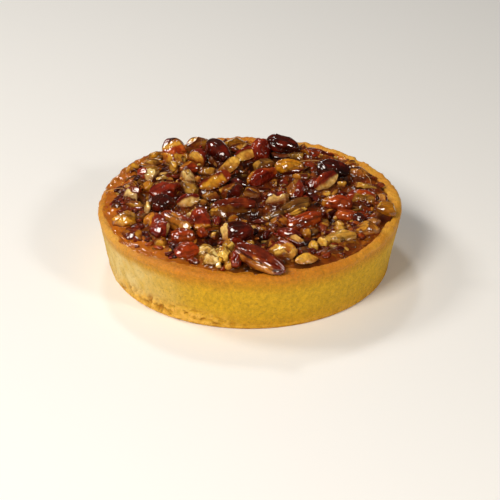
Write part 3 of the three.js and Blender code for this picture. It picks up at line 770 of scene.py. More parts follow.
# What sets a piece apart, besides plainLook. A cut is a broken face: the side it
# faces, as degrees from +X towards +Y and above the horizon, and its distance
# from the middle. A patch is a side of another tone, given in the same way, which
# lies over all. Chips are more broken faces, at random. Skin and flesh tones
# stand in for those of the row's own tone.
looks = {
    "front_half": {
        "wrinkle": 3.2, "groove": 0.5, "patches": [("tan", 236, -12, 4.0)], "chips": 0, "lump": 0.05,
        "skinTone": "brown", "film": 0.5,
    },
    "back_dome": {"wrinkle": 0.25, "groove": 0.05, "chips": 0, "lump": 0.06},
    "back_top": {"wrinkle": 1.2, "groove": 0.3, "chips": 0, "skinTone": "mahogany"},
    "back_red": {
        "wrinkle": 0.25, "chips": 3, "skinTone": "red", "patches": [("red", 150, 30, 1.5)],
        "film": 0.15,
    },
    "right_dark": {"wrinkle": 1.0, "chips": 4, "groove": 0.25},
    "left_maroon": {"wrinkle": 0.8, "chips": 4, "lump": 0.2, "film": 0.1, "clean": 0.5},
    "left_dark": {"wrinkle": 0.8, "chips": 4, "lump": 0.18},
    "back_knob": {
        "patches": [("mahogany", 140, 50, 3.0), ("orange", 280, -30, 2.4)], "chips": 2,
        "wrinkle": 0.3, "lump": 0.08,
    },
    "back_curl": {"patches": [("red", 262, -10, 2.2)]},
    "back_cream": {
        "cuts": [(236, 8, 1.8)], "wrinkle": 0.1, "fleshTone": "flesh", "chips": 0, "film": 1.3,
        "lump": 0.05, "groove": 0,
    },
    "right_cup": {
        "cuts": [(264, 24, 1.6)], "hollow": 1.4, "fleshTone": "olive", "groove": 0.2,
        "skinTone": "orange", "patches": [("red", 170, 20, 3.6)], "chips": 0, "film": 0.6,
        "clean": 0.6,
    },
    "right_rim": {
        "patches": [("red", 175, 15, 4.6)], "wrinkle": 0.4, "skinTone": "yellow", "film": 0.15,
        "clean": 0.8,
    },
    "right_amber": {"fleshTone": "tan", "skinTone": "tan", "chips": 3, "film": 0.6, "clean": 0.6},
    "broken_back": {
        "cuts": [(272, 15, 2.4)], "groove": 0.3, "fleshTone": "cream", "chips": 2, "film": 0.5,
    },
    "ridge_upright": {"patches": [("red", 345, 0, 1.0)], "groove": 0.2},
    "ridge_tan": {"wrinkle": 1.6, "groove": 0.3, "film": 0.55, "clean": 0.6},
    "ridge_orange": {"wrinkle": 1.2, "groove": 0.3, "lump": 0.2, "film": 0.3, "clean": 0.6},
    "middle_edge": {
        "skinTone": "red", "patches": [("orange", 60, 40, 3.2), ("tan", 165, 25, 4.2)], "groove": 0.3,
        "film": 0.6, "chips": 3, "clean": 0.5,
    },
    "middle_orange": {
        "patches": [("mahogany", 285, -30, 3.4)], "chips": 2, "skinTone": "yellow", "film": 0.6,
        "groove": 0.25, "clean": 0.5,
    },
    "centre_long": {
        "wrinkle": 1.3, "groove": 0.34, "patches": [("olive", 265, -20, 2.6)], "clean": 0.5,
    },
    "centre_tan": {"patches": [("mahogany", 310, 10, 1.6)]},
    "left_cream": {
        "patches": [("red", 205, 5, 4.8)], "cuts": [(290, 32, 3.8)], "fleshTone": "cream",
        "film": 0.5, "chips": 2,
    },
    "left_bright": {
        "cuts": [(248, 28, 2.2)], "chips": 0, "skinTone": "orange", "fleshTone": "cream", "film": 0.1,
        "lump": 0.15, "clean": 0.5,
    },
    "left_double": {
        "groove": 0.12, "bulge": 0.12, "chips": 3, "lump": 0.3, "fleshTone": "yellow", "film": 0.5,
    },
    "left_mixed": {"patches": [("red", 300, 20, 1.6)], "cuts": [(220, 30, 3.0)]},
    "front_brown": {
        "wrinkle": 0.8, "skinTone": "orange", "patches": [("red", 180, 20, 3.4)], "chips": 5,
        "film": 0.3, "groove": 0.05, "clean": 0.8,
    },
    "centre_dark": {
        "wrinkle": 1.4, "groove": 0.15, "lump": 0.1, "fleshTone": "cream", "cuts": [(212, 20, 6.2)],
        "chips": 0, "patches": [("mahogany", 300, 30, 0.4)], "film": 0.3,
    },
    "left_shine": {
        "fleshTone": "cream", "patches": [("red", 178, 25, -0.6)], "chips": 0, "film": 0.6,
        "wrinkle": 0.1,
    },
    "left_crescent": {"fleshTone": "cream", "skinEdge": 0.5, "chips": 0, "film": 0.5},
    "right_slice": {
        "skinTone": "red", "fleshTone": "cream", "skinEdge": 0.25, "chips": 1, "film": 0.1,
        "clean": 0.7,
    },
    "front_red": {"fleshTone": "brown", "patches": [("red", 90, 60, -3.0)], "chips": 2, "film": 0.6},
    "left_long": {
        "fleshTone": "yellow", "skinTone": "tan", "groove": 0.3, "wrinkle": 1.2, "chips": 0,
        "patches": [("brown", 30, 50, 2.8), ("brown", 140, 0, 3.0)], "film": 0.3, "clean": 0.7,
    },
    "front_lobed": {
        "patches": [("red", 75, 40, 2.4), ("red", 140, 30, 2.2)], "groove": 0.55,
        "cuts": [(262, 30, 4.4)], "bulge": 0.1,
    },
    "front_dark": {"patches": [("brown", 250, 20, 2.0)]},
    "front_oval": {
        "wrinkle": 0.3, "chips": 1, "skinEdge": 1.3, "fleshTone": "tan", "film": 0.4, "lump": 0.2,
    },
    "slice_long": {
        "fleshTone": "flesh", "skinTone": "red", "chips": 1, "skinEdge": 0.85, "film": 0.1,
        "clean": 0.4,
    },
    "slice_upper": {"fleshTone": "flesh", "skinTone": "red", "chips": 1, "skinEdge": 0.7, "film": 0.15},
    "oval_split": {
        "fleshTone": "yellow", "skinTone": "red", "chips": 1, "skinEdge": 0.5,
        "patches": [("red", 30, 10, 5.0)], "film": 0.25,
    },
    "front_cream": {
        "skinTone": "cream", "chips": 3, "groove": 0.25, "film": 0.25, "lump": 0.1, "wrinkle": 0.8,
        "clean": 0.8,
    },
    "front_orange": {
        "wrinkle": 1.0, "lump": 0.2, "skinTone": "orange", "patches": [("brown", 90, 20, 1.4)],
        "chips": 4, "film": 0.6, "clean": 0.6,
    },
    "centre_shine": {"skinTone": "tan", "fleshTone": "tan", "film": 0.5},
    "right_orange": {
        "lump": 0.2, "wrinkle": 1.1, "film": 0.7, "chips": 2, "groove": 0.25,
        "patches": [("tan", 150, 35, 3.4), ("brown", 300, 0, 3.2)],
    },
    "front_small": {"wrinkle": 1.2, "chips": 0, "skinTone": "red"},
    "left_white": {"film": 0.5, "chips": 5},
    "cluster_front": {"film": 0.2, "chips": 6, "lump": 0.3, "bulge": 0.12, "clean": 0.7},
    "cluster_right": {"film": 0.3, "chips": 6, "lump": 0.3, "bulge": 0.12, "clean": 0.7},
    "right_sliver": {"fleshTone": "flesh", "skinTone": "flesh", "film": 0.6},
    "creamRight": {"film": 0.5, "chips": 4},
    "creamBar": {"film": 0.5, "chips": 4},
    "darkBack": {"chips": 0},
}
# Knobbly pieces of the pale cluster at the front
for film, names in (
    (0.2, ("clusterLeft", "clusterTop", "clusterBack", "clusterLow", "clusterEdge")),
    (0.3, ("clusterChip", "clusterMiddle", "clusterHigh", "clusterSide", "clusterCrumb")),
):
    looks.update({name: {"film": film, "chips": 6, "lump": 0.3} for name in names})
# Pieces with skin all over: the patch begins on their far side
for name, skin in (
    ("darkMiddle", "mahogany"), ("rightMiddle", "mahogany"), ("rightRed", "mahogany"),
    ("leftFront", "mahogany"), ("midRed", "red"),
):
    looks[name] = {"patches": [(skin, 270, 40, -9)]}
# What holds where a piece's look doesn't say
plainLook = {
    "wrinkle": 0.8,  # how deep its wrinkles are, times pecan's
    "lump": 0.15,  # depth of the swells, as a part of the size
    "groove": 0.10,  # depth of the groove along the back, filled up with glaze
    "skinEdge": 0.25,  # how high on the flesh of a lobe's cut the skin begins
    "bulge": 0.03,  # how far a chunk's broken end stands out, as a part of the length
    "hollow": 0,  # how deep a cut is hollowed
    "cuts": [],
    "patches": [],
    "film": 1,  # how much caramel streaks it
    "clean": 0,  # how far its foot is free of caramel and painted shade
}
pecan = {
    "wrinkle": 0.07,  # depth of the long wrinkles, as a part of the size
    "grooveWidth": 0.3,  # of half its width
    "flatShare": 0.3,  # part of the height below the widest line
    "blunt": 2.3,  # power of its outline, where 2 gives an oval
    "taper": 0.12,  # how much narrower it is towards +x
    "firstRing": 0.14,  # radians from its pointed end
    "tip": 0.02,  # how far the point stands out, as a part of the length
    "lobeCut": 0.3,  # how far a split pecan's cut lies from its middle
    "broken": 0.42,  # where a chunk ends, of 1 for the whole half
    "jag": 0.035,  # how uneven that end is, as a part of the length
    "roughness": 0.33,  # of a broken face, in mm
    "chips": {"half": 4, "chunk": 5, "lobe": 5, "flake": 5},
    "fine": (44, 12, 60),  # rings, rings on a broken face and points round a ring
    "plain": (22, 7, 30),
    "fineSeed": 100,
    "plainSeed": 4000,
    "seedStep": 37,  # from one piece to the next
}
tones = {
    # skin, its lighter patches, flesh, its deeper patches
    "mahogany": ("#3a0b05", "#6a1b0b", "#d9bc7c", "#a8702e"),
    "red": ("#741b0e", "#9e3c1c", "#dcb668", "#b0742c"),
    "brown": ("#661f0c", "#92401a", "#c8943c", "#985e20"),
    "orange": ("#9c3c12", "#bc5e1c", "#d6a23a", "#a8681e"),
    "tan": ("#a06822", "#c4903a", "#dab048", "#b07a26"),
    "flesh": ("#b8822a", "#d8ac44", "#ecca66", "#ca983a"),
    "cream": ("#c89e42", "#e6cc74", "#f8e8aa", "#d8b054"),
    "yellow": ("#b07618", "#d49a24", "#e2b03a", "#b4781a"),
    "olive": ("#785020", "#9c742e", "#b48c3c", "#6e4e1c"),
}
# Caramel film and painted shade over the pecans: a thin film, and a nearly black painted shade at their feet
# and in the gaps
filmAndShade = {
    "thin": (0.53, 0.17, 0.065),  # parts of red, green and blue light that a thin film passes
    "deep": (0.21, 0.045, 0.013),
    "foot": (0.6, 4.4),  # the thin film, partly painted shade, thins out over these heights above the caramel
    "poolShade": (-0.2, 2.5),  # and the deep painted shade over these
    "gapRise": 3.6,  # how much higher both reach in a gap
}


def turning(turn, tip, roll):
    place = Matrix.Rotation(math.radians(turn), 3, "Z")
    place = place @ Matrix.Rotation(math.radians(-tip), 3, "Y")
    return np.array(place @ Matrix.Rotation(math.radians(roll), 3, "X"))


def facing(turn, rise):
    # Unit vector for a side given by its degrees from +X and above the horizon.
    a, b = math.radians(turn), math.radians(rise)
    return np.array([math.cos(a) * math.cos(b), math.sin(a) * math.cos(b), math.sin(b)])


def breakOff(points, side, distance, hollow, seed):
    # Points beyond a plane slide towards the middle of the piece until they lie
    # on it: a flat broken face, made rough by noise and hollowed if asked. Gives
    # how far each point lies on the face and how far by its edge, too.
    beyond = points @ side
    over = beyond > distance
    scale = np.where(over, distance / np.where(over, beyond, 1), 1)
    points = points * scale[:, None]
    x, y, z = points.T
    beyond = beyond - distance
    rough = pecan["roughness"] * layered(x, y, z, 1.7, seed) - hollow * smoothStep(beyond, 0, 3.5)
    points = points + (smoothStep(beyond, 0, 1.2) * rough)[:, None] * side
    return points, smoothStep(beyond, 0, 0.3), smoothStep(beyond, -0.8, -0.1)


def bodyRings(kind, size, look, grid, seed):
    # Rings along X from a pointed end. Each ring is two swells beside a groove
    # above and nearly flat below, as wide as the square root of 1 - |u|^2.3,
    # with long wrinkles and lumps. A lobe's ring is cut off by a plane, a flake
    # curls and a chunk stops short in a jagged end. Gives how far each point is
    # cut and lies in a furrow, too.
    length, width, height = size
    count, capRings, around = grid
    last, lastTurn = pecan["broken"], math.acos(-pecan["broken"])
    if kind != "chunk":
        count = count + capRings - 1
        last, lastTurn = 1, math.pi - pecan["firstRing"]
    u = -np.cos(np.linspace(pecan["firstRing"], lastTurn, count))[:, None]
    angle = (2 * np.pi * (np.arange(around) + 0.5) / around)[None]
    fullness = np.sqrt(1 - np.abs(u) ** pecan["blunt"])
    across, up = np.cos(angle), np.sin(angle)
    grooved = 1 - look["groove"] * np.exp(-(across / pecan["grooveWidth"]) ** 2)
    backGroove = grooved if kind in ("half", "chunk") else 1
    underGroove = 1 if kind == "lobe" else grooved
    flatShare = pecan["flatShare"]
    y = np.maximum(across, -pecan["lobeCut"]) if kind == "lobe" else across
    z = np.where(up < 0, flatShare * up * underGroove, (1 - flatShare) * np.abs(up) ** 0.8 * backGroove)
    x = length * ((u + 1) / (last + 1) - 0.5) + 0 * angle
    y = y * width / 2 * fullness * (1 - pecan["taper"] * u)
    z = height * (z + flatShare - 0.5) * fullness
    wander = noise(x, 0 * x, 0 * x, 5, seed) + 0.6 * noise(x, 3 * across, 3 * up, 2.5, seed + 1)
    cut = 0 * x
    if kind == "lobe":
        skinned = smoothStep(up + 0.2 * wander, look["skinEdge"] - 0.3, look["skinEdge"] + 0.1)
        cut = (across < -pecan["lobeCut"] - 0.02) * (1 - skinned)
    furrow = np.exp(-(np.sin(3.5 * angle + 0.9 * wander) / 0.4) ** 2) * (1 - cut)
    push = -pecan["wrinkle"] * look["wrinkle"] * furrow
    push = push + look["lump"] * layered(x, y, z, 0.36 * length, seed + 2) * (1 - 0.6 * cut)
    middle = -0.2 * height * fullness
    y = y * (1 + push)
    z = middle + (z - middle) * (1 + push)
    y = y + cut * pecan["roughness"] * layered(x, 0 * x, z, 2.0, seed + 8)
    if kind == "flake":
        z = z - 0.7 * height * (x / length) ** 2 + 0.3 * height * noise(x, y, 0 * x, 4, seed + 3)
    if kind == "chunk":
        x = x + smoothStep(u, 0.1, last) * (pecan["jag"] * length * np.sin(3 * angle))
    return np.stack([x, y, z], -1), cut, furrow


def brokenEnd(rings, length, bulge, capRings, seed):
    # A rough face of shrinking rings that closes the last ring and swells a little.
    core = rings[-1].mean(axis=0)
    shrink = np.linspace(1, 0.1, capRings)[:, None, None]
    cap = core + (rings[-1] - core) * shrink
    rough = layered(0.3 * cap[..., 0], cap[..., 1], cap[..., 2], 2.2, seed + 11)
    out = 0.05 * rough + bulge * (1 - shrink[..., 0] ** 2)
    cap[..., 0] += length * out * (1 - shrink[..., 0] ** 4)
    return cap[1:]


def pecanPoints(kind, size, spin, look, grid, seed):
    # The rings of a piece, a chunk's broken end and the two poles, with broken
    # faces as its look says and a few chips at random.
    rings, cut, furrow = bodyRings(kind, size, look, grid, seed)
    length, brokenAcross, whole = size[0], kind == "chunk", kind == "half"
    if brokenAcross:
        cap = brokenEnd(rings, length, look["bulge"], grid[1], seed)
        rings = np.concatenate([rings, cap])
        cut = np.concatenate([cut, np.ones(cap.shape[:2])])
        furrow = np.concatenate([furrow, np.zeros(cap.shape[:2])])
    start = rings[0].mean(axis=0) - [pecan["tip"] * length, 0, 0]
    end = rings[-1].mean(axis=0) + [0 if brokenAcross else pecan["tip"] * length, 0, 0]
    points = np.concatenate([rings.reshape(-1, 3), [start, end]])
    cut = np.append(cut.ravel(), [0, 1.0 * brokenAcross])
    furrow = np.append(furrow.ravel(), [0, 0])
    cuts = [(facing(turn, rise) @ spin, distance, look["hollow"]) for turn, rise, distance in look["cuts"]]
    given = len(cuts)
    rng = np.random.default_rng(seed)
    for _ in range(look.get("chips", pecan["chips"][kind])):
        side = facing(rng.uniform(0, 360), rng.uniform(-10, 70)) @ spin
        share = rng.uniform(0.68, 0.86) if whole else rng.uniform(0.54, 0.82)
        cuts.append((side, (points @ side).max() * share, 0))
    for k, (side, distance, hollow) in enumerate(cuts):
        points, face, beside = breakOff(points, side, distance, hollow, seed + 30 + k)
        # A chip in a whole half is worn and glazed, so it keeps the skin's colour
        shown = k < given or not whole
        cut = np.maximum(cut, face * shown)
        # The band beside a broken face joins the furrows, darkened later as painted shade
        furrow = np.maximum(furrow, beside * shown * (1 - face))
    return points, cut, furrow


def filmedOrShaded(colour, share, passed):
    # The colour seen through a film of caramel that covers a share of it, or darkened by painted shade.
    return colour * (1 - share[..., None] * (1 - np.array(passed)))


def blended(first, second, share):
    return first * (1 - share[:, None]) + second * share[:, None]


def pecanColours(points, world, spin, cut, furrow, tone, look, seed):
    # Skin is lighter in patches and darker in furrows and by broken faces (painted
    # shade); a broken face is pale with deeper patches; caramel runs in streaks over
    # it and browns the foot along with painted shade, which pools nearly black in gaps.
    def palette(name):
        return np.array([linear(hexText) for hexText in tones[name]])

    skin, skinLight = palette(look.get("skinTone", tone))[:2]
    flesh, fleshDeep = palette(look.get("fleshTone", tone))[2:]
    x, y, z = points.T
    colour = blended(skin, skinLight, smoothStep(layered(x, y, z, 5, seed + 20), -0.1, 0.75))
    # Darker in furrows and beside broken faces: painted shade
    colour = colour * (1 - 0.5 * furrow * min(1.6, look["wrinkle"] + 0.2))[:, None]
    pale = blended(flesh, fleshDeep, smoothStep(layered(x, y, z, 2.2, seed + 24), -0.1, 0.8))
    colour = blended(colour, pale, cut)
    for other, turn, rise, distance in look["patches"]:
        edge = points @ (facing(turn, rise) @ spin) + 0.9 * layered(x, y, z, 3, seed + 22)
        share = smoothStep(edge, distance - 0.5, distance + 0.5)
        deep, light = palette(other)[:2]
        patch = blended(deep, light, smoothStep(layered(x, y, z, 4, seed + 28), -0.5, 0.5))
        colour = blended(colour, patch, share)
        cut = cut * (1 - share)
    streaks = layered(*world.T, 4.5, 91) + 0.6 * noise(0.45 * x, y, z, 1.3, seed + 26)
    streaks = smoothStep(streaks, -0.15, 0.55)
    colour = filmedOrShaded(colour, look["film"] * streaks * (0.72 - 0.36 * cut), filmAndShade["thin"])
    # The foot is browned below a height over the caramel, higher in a gap: partly the caramel film, partly
    # painted shade
    gap = hollowShare(world[:, 0], world[:, 1])
    above = world[:, 2] - caramelHeight(world[:, 0], world[:, 1]) - filmAndShade["gapRise"] * gap
    share = 1 - look["clean"]
    foot = 0.55 * share * (1 - smoothStep(above, *filmAndShade["foot"]))
    colour = filmedOrShaded(colour, foot * smoothStep(noise(*world.T, 5, 99), -0.6, 0.4), filmAndShade["thin"])
    # Nearly black painted shade pools at the foot and in the gaps
    pooledShade = np.maximum(0.55 + 0.42 * smoothStep(noise(*world.T, 7, 97), -0.3, 0.4), 0.97 * gap)
    pooledShade = (0.5 + 0.5 * share) * pooledShade * (1 - smoothStep(above, *filmAndShade["poolShade"]))
    return filmedOrShaded(colour, pooledShade, filmAndShade["deep"])


def placedPecan(row, grid, seed):
    name, kind, place, size, angles, tone = row
    look = {**plainLook, **looks.get(name, {})}
    spin = turning(*angles)
    points, cut, furrow = pecanPoints(kind, size, spin, look, grid, seed)
    world = points @ spin.T + np.array(place) + [0, 0, case["height"]]
    return world, pecanColours(points, world, spin, cut, furrow, tone, look, seed)


def closedPecans(points, grid):
    return closedPieces(points, grid[0] + grid[1] - 1, grid[2])


def glazedPecan(name, coatTint, film, relief):
    # Roasted pecan under a film of caramel: the film is a clear amber coat that
    # gives small sharp highlights, and light goes a little way into the nut.
    material, tree, shader = newMaterial(name, {
        "Roughness": 0.45, "IOR": 1.47, "Specular IOR Level": 0.08, "Coat Weight": film,
        "Coat Roughness": 0.02, "Coat IOR": 1.58, "Coat Tint": coatTint,
        "Subsurface Weight": 0.08, "Subsurface Scale": 2 * mm, "Subsurface Radius": (1.0, 0.5, 0.2),
    })
    place = addNode(tree, "TexCoord").outputs["Object"]
    tone = addNode(tree, "Attribute", {"attribute_name": "tone"})
    # Streaks of the papery skin, under 2 mm wide
    streak = addNode(tree, "TexNoise", {"Scale": perMetre / 1.6, "Detail": 4}, Vector=place)
    shade = addNode(
        tree, "MapRange", {"From Min": 0.3, "From Max": 0.7, "To Min": 0.7, "To Max": 1.25},
        Value=streak.outputs["Fac"])
    colour = addNode(
        tree, "VectorMath", {"operation": "SCALE"}, i0=tone.outputs["Color"],
        Scale=shade.outputs[0])
    tree.links.new(colour.outputs[0], shader.inputs["Base Color"])
    # The nut is rough at 2 mm, and its film has set in smoother ripples of 3 mm
    for size, target in ((2.0, "Normal"), (3.2, "Coat Normal")):
        ripple = addNode(tree, "TexNoise", {"Scale": perMetre / size, "Detail": 1.5}, Vector=place)
        bump = addNode(
            tree, "Bump", {"Strength": relief, "Distance": 0.6 * mm}, Height=ripple.outputs["Fac"])
        tree.links.new(bump.outputs[0], shader.inputs[target])
    return material


def caramelLook(name, roughness, film=1.0, tone="#ffffff"):
    # Clear set caramel: a sharp, glossy film over a rougher, darker body.
    return newMaterial(name, {
        "Roughness": roughness, "IOR": 1.48, "Specular IOR Level": 0.06, "Coat Weight": film,
        "Coat Roughness": 0.02, "Coat IOR": 1.58, "Subsurface Weight": 0.05,
        "Subsurface Scale": 2 * mm, "Subsurface Radius": (1.0, 0.35, 0.1), "Base Color": tone,
    })


def beadCaramel():
    # A thick bead of caramel has set smooth, so it mirrors the light in one spot.
    material, tree, shader = caramelLook("caramelBead", 0.3)
    tone = addNode(tree, "Attribute", {"attribute_name": "tone"})
    tree.links.new(tone.outputs["Color"], shader.inputs["Base Color"])
    place = addNode(tree, "TexCoord").outputs["Object"]
    ripple = addNode(tree, "TexNoise", {"Scale": perMetre / 1.6, "Detail": 1.0}, Vector=place)
    bump = addNode(
        tree, "Bump", {"Strength": 0.6, "Distance": 0.4 * mm}, Height=ripple.outputs["Fac"])
    tree.links.new(bump.outputs[0], shader.inputs["Coat Normal"])
    return material


# Beads of caramel that set on the pecans: the pecan, the bead's width and the
# side of the pecan where it lies, in degrees from +X
beads = {
    "left_long": (6.2, 242), "underGlaze": (5.2, 244), "centre_shine": (6.0, 236), "left_shine": (5.0, 254),
    "left_cream": (5.2, 250), "centre_dark": (3.6, 254), "left_bright": (4.8, 254), "left_double": (3.4, 254),
    "leftYellow": (3.0, 254), "back_dome": (3.6, 254), "front_brown": (3.0, 254), "left_maroon": (3.0, 254),
    "front_lobed": (3.0, 254), "broken_back": (2.8, 254), "back_knob": (3.2, 254), "ridge_orange": (2.6, 254),
    "middle_orange": (2.8, 254), "right_dark": (3.0, 254),
}
bead = {
    "rings": 13,
    "around": 24,
    "firstRing": 0.2,  # radians from the pole
    "side": (254, 37),  # the way that they face, as degrees from +X and above the horizon
    "long": 0.36,  # half their size along the pecan's slope, as a part of their width
    "thick": 0.055,  # as a part of their width
    "stand": 0.3,  # how far their middle stands off
    "turned": 25,  # degrees that they are turned at most
    "deeper": (0.95, 0.8, 0.65),  # parts of the pecan's red, green and blue
}


def beadSurface(made):
    # Each bead is a lens with a slightly uneven outline. It lies where its pecan
    # reaches furthest to the given side, and has the pecan's colour, deeper.
    side = facing(*bead["side"])
    across = np.cross(side, [0, 0, 1.0])
    across /= np.linalg.norm(across)
    axes = np.stack([across, np.cross(side, across), side])
    lens = ballPoints(bead["rings"], bead["around"], bead["firstRing"])
    pieces, colours = [], []
    for k, (name, (width, around)) in enumerate(beads.items()):
        points, tone = made[name]
        spot = np.argmax(points @ facing(around, bead["side"][1]))
        outline = 1 + 0.15 * noise(lens[:, 0], lens[:, 1], 7.0 * k, 0.9, 93)
        local = lens * [width / 2, bead["long"] * width, bead["thick"] * width] * outline[:, None]
        lean = turning(bead["turned"] * math.sin(2.1 * k), 0, 0)[:2, :2]
        local[:, :2] = local[:, :2] @ lean.T
        pieces.append(points[spot] + bead["stand"] * side + local @ axes)
        colours.append(np.tile(tone[spot] * bead["deeper"], (len(lens), 1)))
    return closedPieces(np.stack(pieces), bead["rings"], bead["around"]), np.concatenate(colours)


def addPecans():
    skinGlaze = glazedPecan("glazedPecanSkin", "#fde4bc", 1.0, 0.27)
    fleshGlaze = glazedPecan("glazedPecanFlesh", "#fff0d0", 0.9, 0.25)
    made = {}
    for k, row in enumerate(topping):
        name, tone = row[0], row[-1]
        made[name] = placedPecan(row, pecan["fine"], pecan["fineSeed"] + pecan["seedStep"] * k)
        points, colours = made[name]
        glaze, slot = skinGlaze, "pecan_skin"
        if tone in ("flesh", "tan", "cream", "yellow", "olive"):
            glaze, slot = fleshGlaze, "pecan_flesh"
        surface = closedPecans(points[None], pecan["fine"])
        makePiece("pecan." + name, surface, glaze, {"tone": colours}, ["pecan_" + name])
    parts = []
    for k, row in enumerate(smaller):
        parts.append(placedPecan(row, pecan["plain"], pecan["plainSeed"] + pecan["seedStep"] * k))
        made[row[0]] = parts[-1]
    points, colours = (np.stack(column) for column in zip(*parts))
    makePiece(
        "smallPecans", closedPecans(points, pecan["plain"]), fleshGlaze,
        {"tone": colours.reshape(-1, 3)})
    surface, colours = beadSurface(made)
    makePiece("caramelBeads", surface, beadCaramel(), {"tone": colours})


addPecans()
print("pecans made:", len(topping) + len(smaller))


# Caramel body
def caramelSurface():
    # A flat bottom, a rounded corner, a wall just inside the pastry and a lid of
    # rings that follow the caramel's height. Values are how high a point lies
    # above the crest, apart from what climbs up the pecans, which darkens low places
    # as painted shade, how much painted shade pools at the pecans' feet and in the
    # gaps, and how near the rim it is.
    corner = 3  # radius where the bottom meets the wall
    gap = 0.3  # between it and the pastry's floor
    wallTop = case["height"] - 3.2
    start = case["firstRing"]
    foot = case["baseRadius"] - case["rimWidth"] + gap
    low = case["floor"] + gap
    bottom = line((start, low), (foot - corner, low), 5)
    bend = arc(foot - corner, low + corner, corner, corner, -90, 0, 5)[1:]
    side = line((foot, low + corner), (caramelEdge, wallTop), 6)[1:]
    radii = np.linspace(caramelEdge + caramel["lip"], 0.5, caramel["rings"])
    lid = np.stack([radii, np.full(len(radii), case["height"])], -1)
    rings = turned(np.concatenate([bottom, bend, side, lid]), caramel["around"])
    top = rings[0, -caramel["rings"]:]
    top[..., 2] = caramelHeight(top[..., 0], top[..., 1])
    rings[0, :-caramel["rings"]] = uneven(rings[0, :-caramel["rings"]])
    middle = np.array([[0.0, 0.0, float(top[-1, :, 2].mean())]])
    surface = closedSurfaces(rings, np.array([[0.0, 0.0, low]]), middle)
    x, y, z = surface[0].T
    foot = cling(x, y)
    byRim = smoothStep(np.hypot(x, y), caramelEdge - 12, caramelEdge - 1)
    values = {
        "depth": z - case["height"] - caramel["creep"] * foot,
        "poolShade": np.maximum(0.6 * smoothStep(foot, 0.25, 0.9), hollowShare(x, y)),
        "byRim": byRim * (0.12 + 0.88 * smoothStep(-x, -45, 0)),
    }
    return surface, values


def addRipples(tree, shader, place, size, depth):
    # The glaze has set in small ripples, with fine threads drawn over it where a
    # noise crosses its middle value: both its film and its body follow them.
    ripple = addNode(tree, "TexNoise", {"Scale": perMetre / size, "Detail": 2}, Vector=place)
    wander = addNode(tree, "TexNoise", {"Scale": perMetre / 7, "Detail": 2}, Vector=place)
    middle = addNode(tree, "Math", {"operation": "SUBTRACT", 1: 0.5}, i0=wander.outputs["Fac"])
    off = addNode(tree, "Math", {"operation": "ABSOLUTE"}, i0=middle.outputs[0])
    thread = addNode(
        tree, "MapRange", {"From Max": 0.02, "To Min": 0.7, "To Max": 0.0}, Value=off.outputs[0])
    height = addNode(
        tree, "Math", {"operation": "ADD"}, i0=ripple.outputs["Fac"], i1=thread.outputs[0])
    bump = addNode(
        tree, "Bump", {"Strength": 0.6, "Distance": depth * mm}, Height=height.outputs[0])
    tree.links.new(bump.outputs[0], shader.inputs["Normal"])
    tree.links.new(bump.outputs[0], shader.inputs["Coat Normal"])


def caramelBed():
    # Boiled sugar and butter baked round finely chopped nuts, which show through
    # it as olive, tan and red grains of 3 mm. It is darkest between them.
    material, tree, shader = caramelLook("caramelBed", 0.32, 0.55)
    place = addNode(tree, "TexCoord").outputs["Object"]
    shares = {
        title: addNode(tree, "Attribute", {"attribute_name": title}).outputs["Fac"]
        for title in ("byRim", "poolShade", "depth")
    }
    bend = addNode(tree, "TexNoise", {"Scale": perMetre / 5, "Detail": 3}, Vector=place)
    warped = addNode(
        tree, "VectorMath", {"operation": "MULTIPLY_ADD", 1: (5 * mm, 5 * mm, 5 * mm)},
        i0=bend.outputs["Color"], i2=place).outputs[0]
    grains = addNode(tree, "TexVoronoi", {"Scale": perMetre / 3.1}, Vector=warped)
    edges = addNode(
        tree, "TexVoronoi", {"feature": "DISTANCE_TO_EDGE", "Scale": perMetre / 3.1}, Vector=warped)
    grain = addNode(tree, "SeparateColor", Color=grains.outputs["Color"])
    stops = [
        (0.0, "#561806"), (0.22, "#7c2a08"), (0.42, "#94480f"), (0.6, "#8c5612"), (0.75, "#862408"),
        (0.9, "#b06618"), (1.0, "#681c06"),
    ]
    ramp = addNode(tree, "ValToRGB", {"stops": stops}, Fac=grain.outputs[0])
    between = addNode(
        tree, "MapRange", {"From Max": 0.3, "To Min": 0.75, "To Max": 0.0},
        Value=edges.outputs["Distance"])
    # Plain caramel without grains, in patches of about 9 mm
    patches = addNode(tree, "TexNoise", {"Scale": perMetre / 9, "Detail": 3}, Vector=place)
    plain = addNode(
        tree, "MapRange", {"From Min": 0.48, "From Max": 0.62, "To Max": 0.6},
        Value=patches.outputs["Fac"])
    # Golden by the rim, and nearly black as painted shade round the pecans' feet and in the gaps
    rimShare = addNode(tree, "Math", {"operation": "MULTIPLY", 1: 0.8}, i0=shares["byRim"])
    poolShadeShare = addNode(tree, "Math", {"operation": "MULTIPLY", 1: 0.92}, i0=shares["poolShade"])
    colour = overlaid(tree, ramp.outputs["Color"], [
        (between.outputs[0], "#4c1604"), (plain.outputs[0], "#7c2c06"),
        (rimShare.outputs[0], "#c06a16"), (poolShadeShare.outputs[0], "#260702"),
    ])
    # Darker the lower it lies: painted shade in the gaps between the pecans
    lift = addNode(
        tree, "MapRange", {"From Min": -3.2, "From Max": 0.6, "To Min": 0.22, "To Max": 1.25},
        Value=shares["depth"])
    shaded = addNode(tree, "VectorMath", {"operation": "SCALE"}, i0=colour, Scale=lift.outputs[0])
    tree.links.new(shaded.outputs[0], shader.inputs["Base Color"])
    addRipples(tree, shader, place, 3.4, 0.26)
    return material


surface, values = caramelSurface()
makePiece("caramel", surface, caramelBed(), values, ["caramel_filling"])
print("caramel made")

# Caramel that ran over the rim
rimFilm = {
    "thick": 0.22,
    "sunk": 0.45,  # how far under the pastry it is where there is no caramel
    "under": 0.5,  # how much deeper its underside lies
    "reach": 0.2,  # part of the rim's section covered on an average side
    "runs": [
        # degrees of a side where it ran further, half its width and how much further
        (150, 24, 0.55), (180, 26, 0.28), (222, 30, 0.3), (38, 30, 0.1),
    ],
}


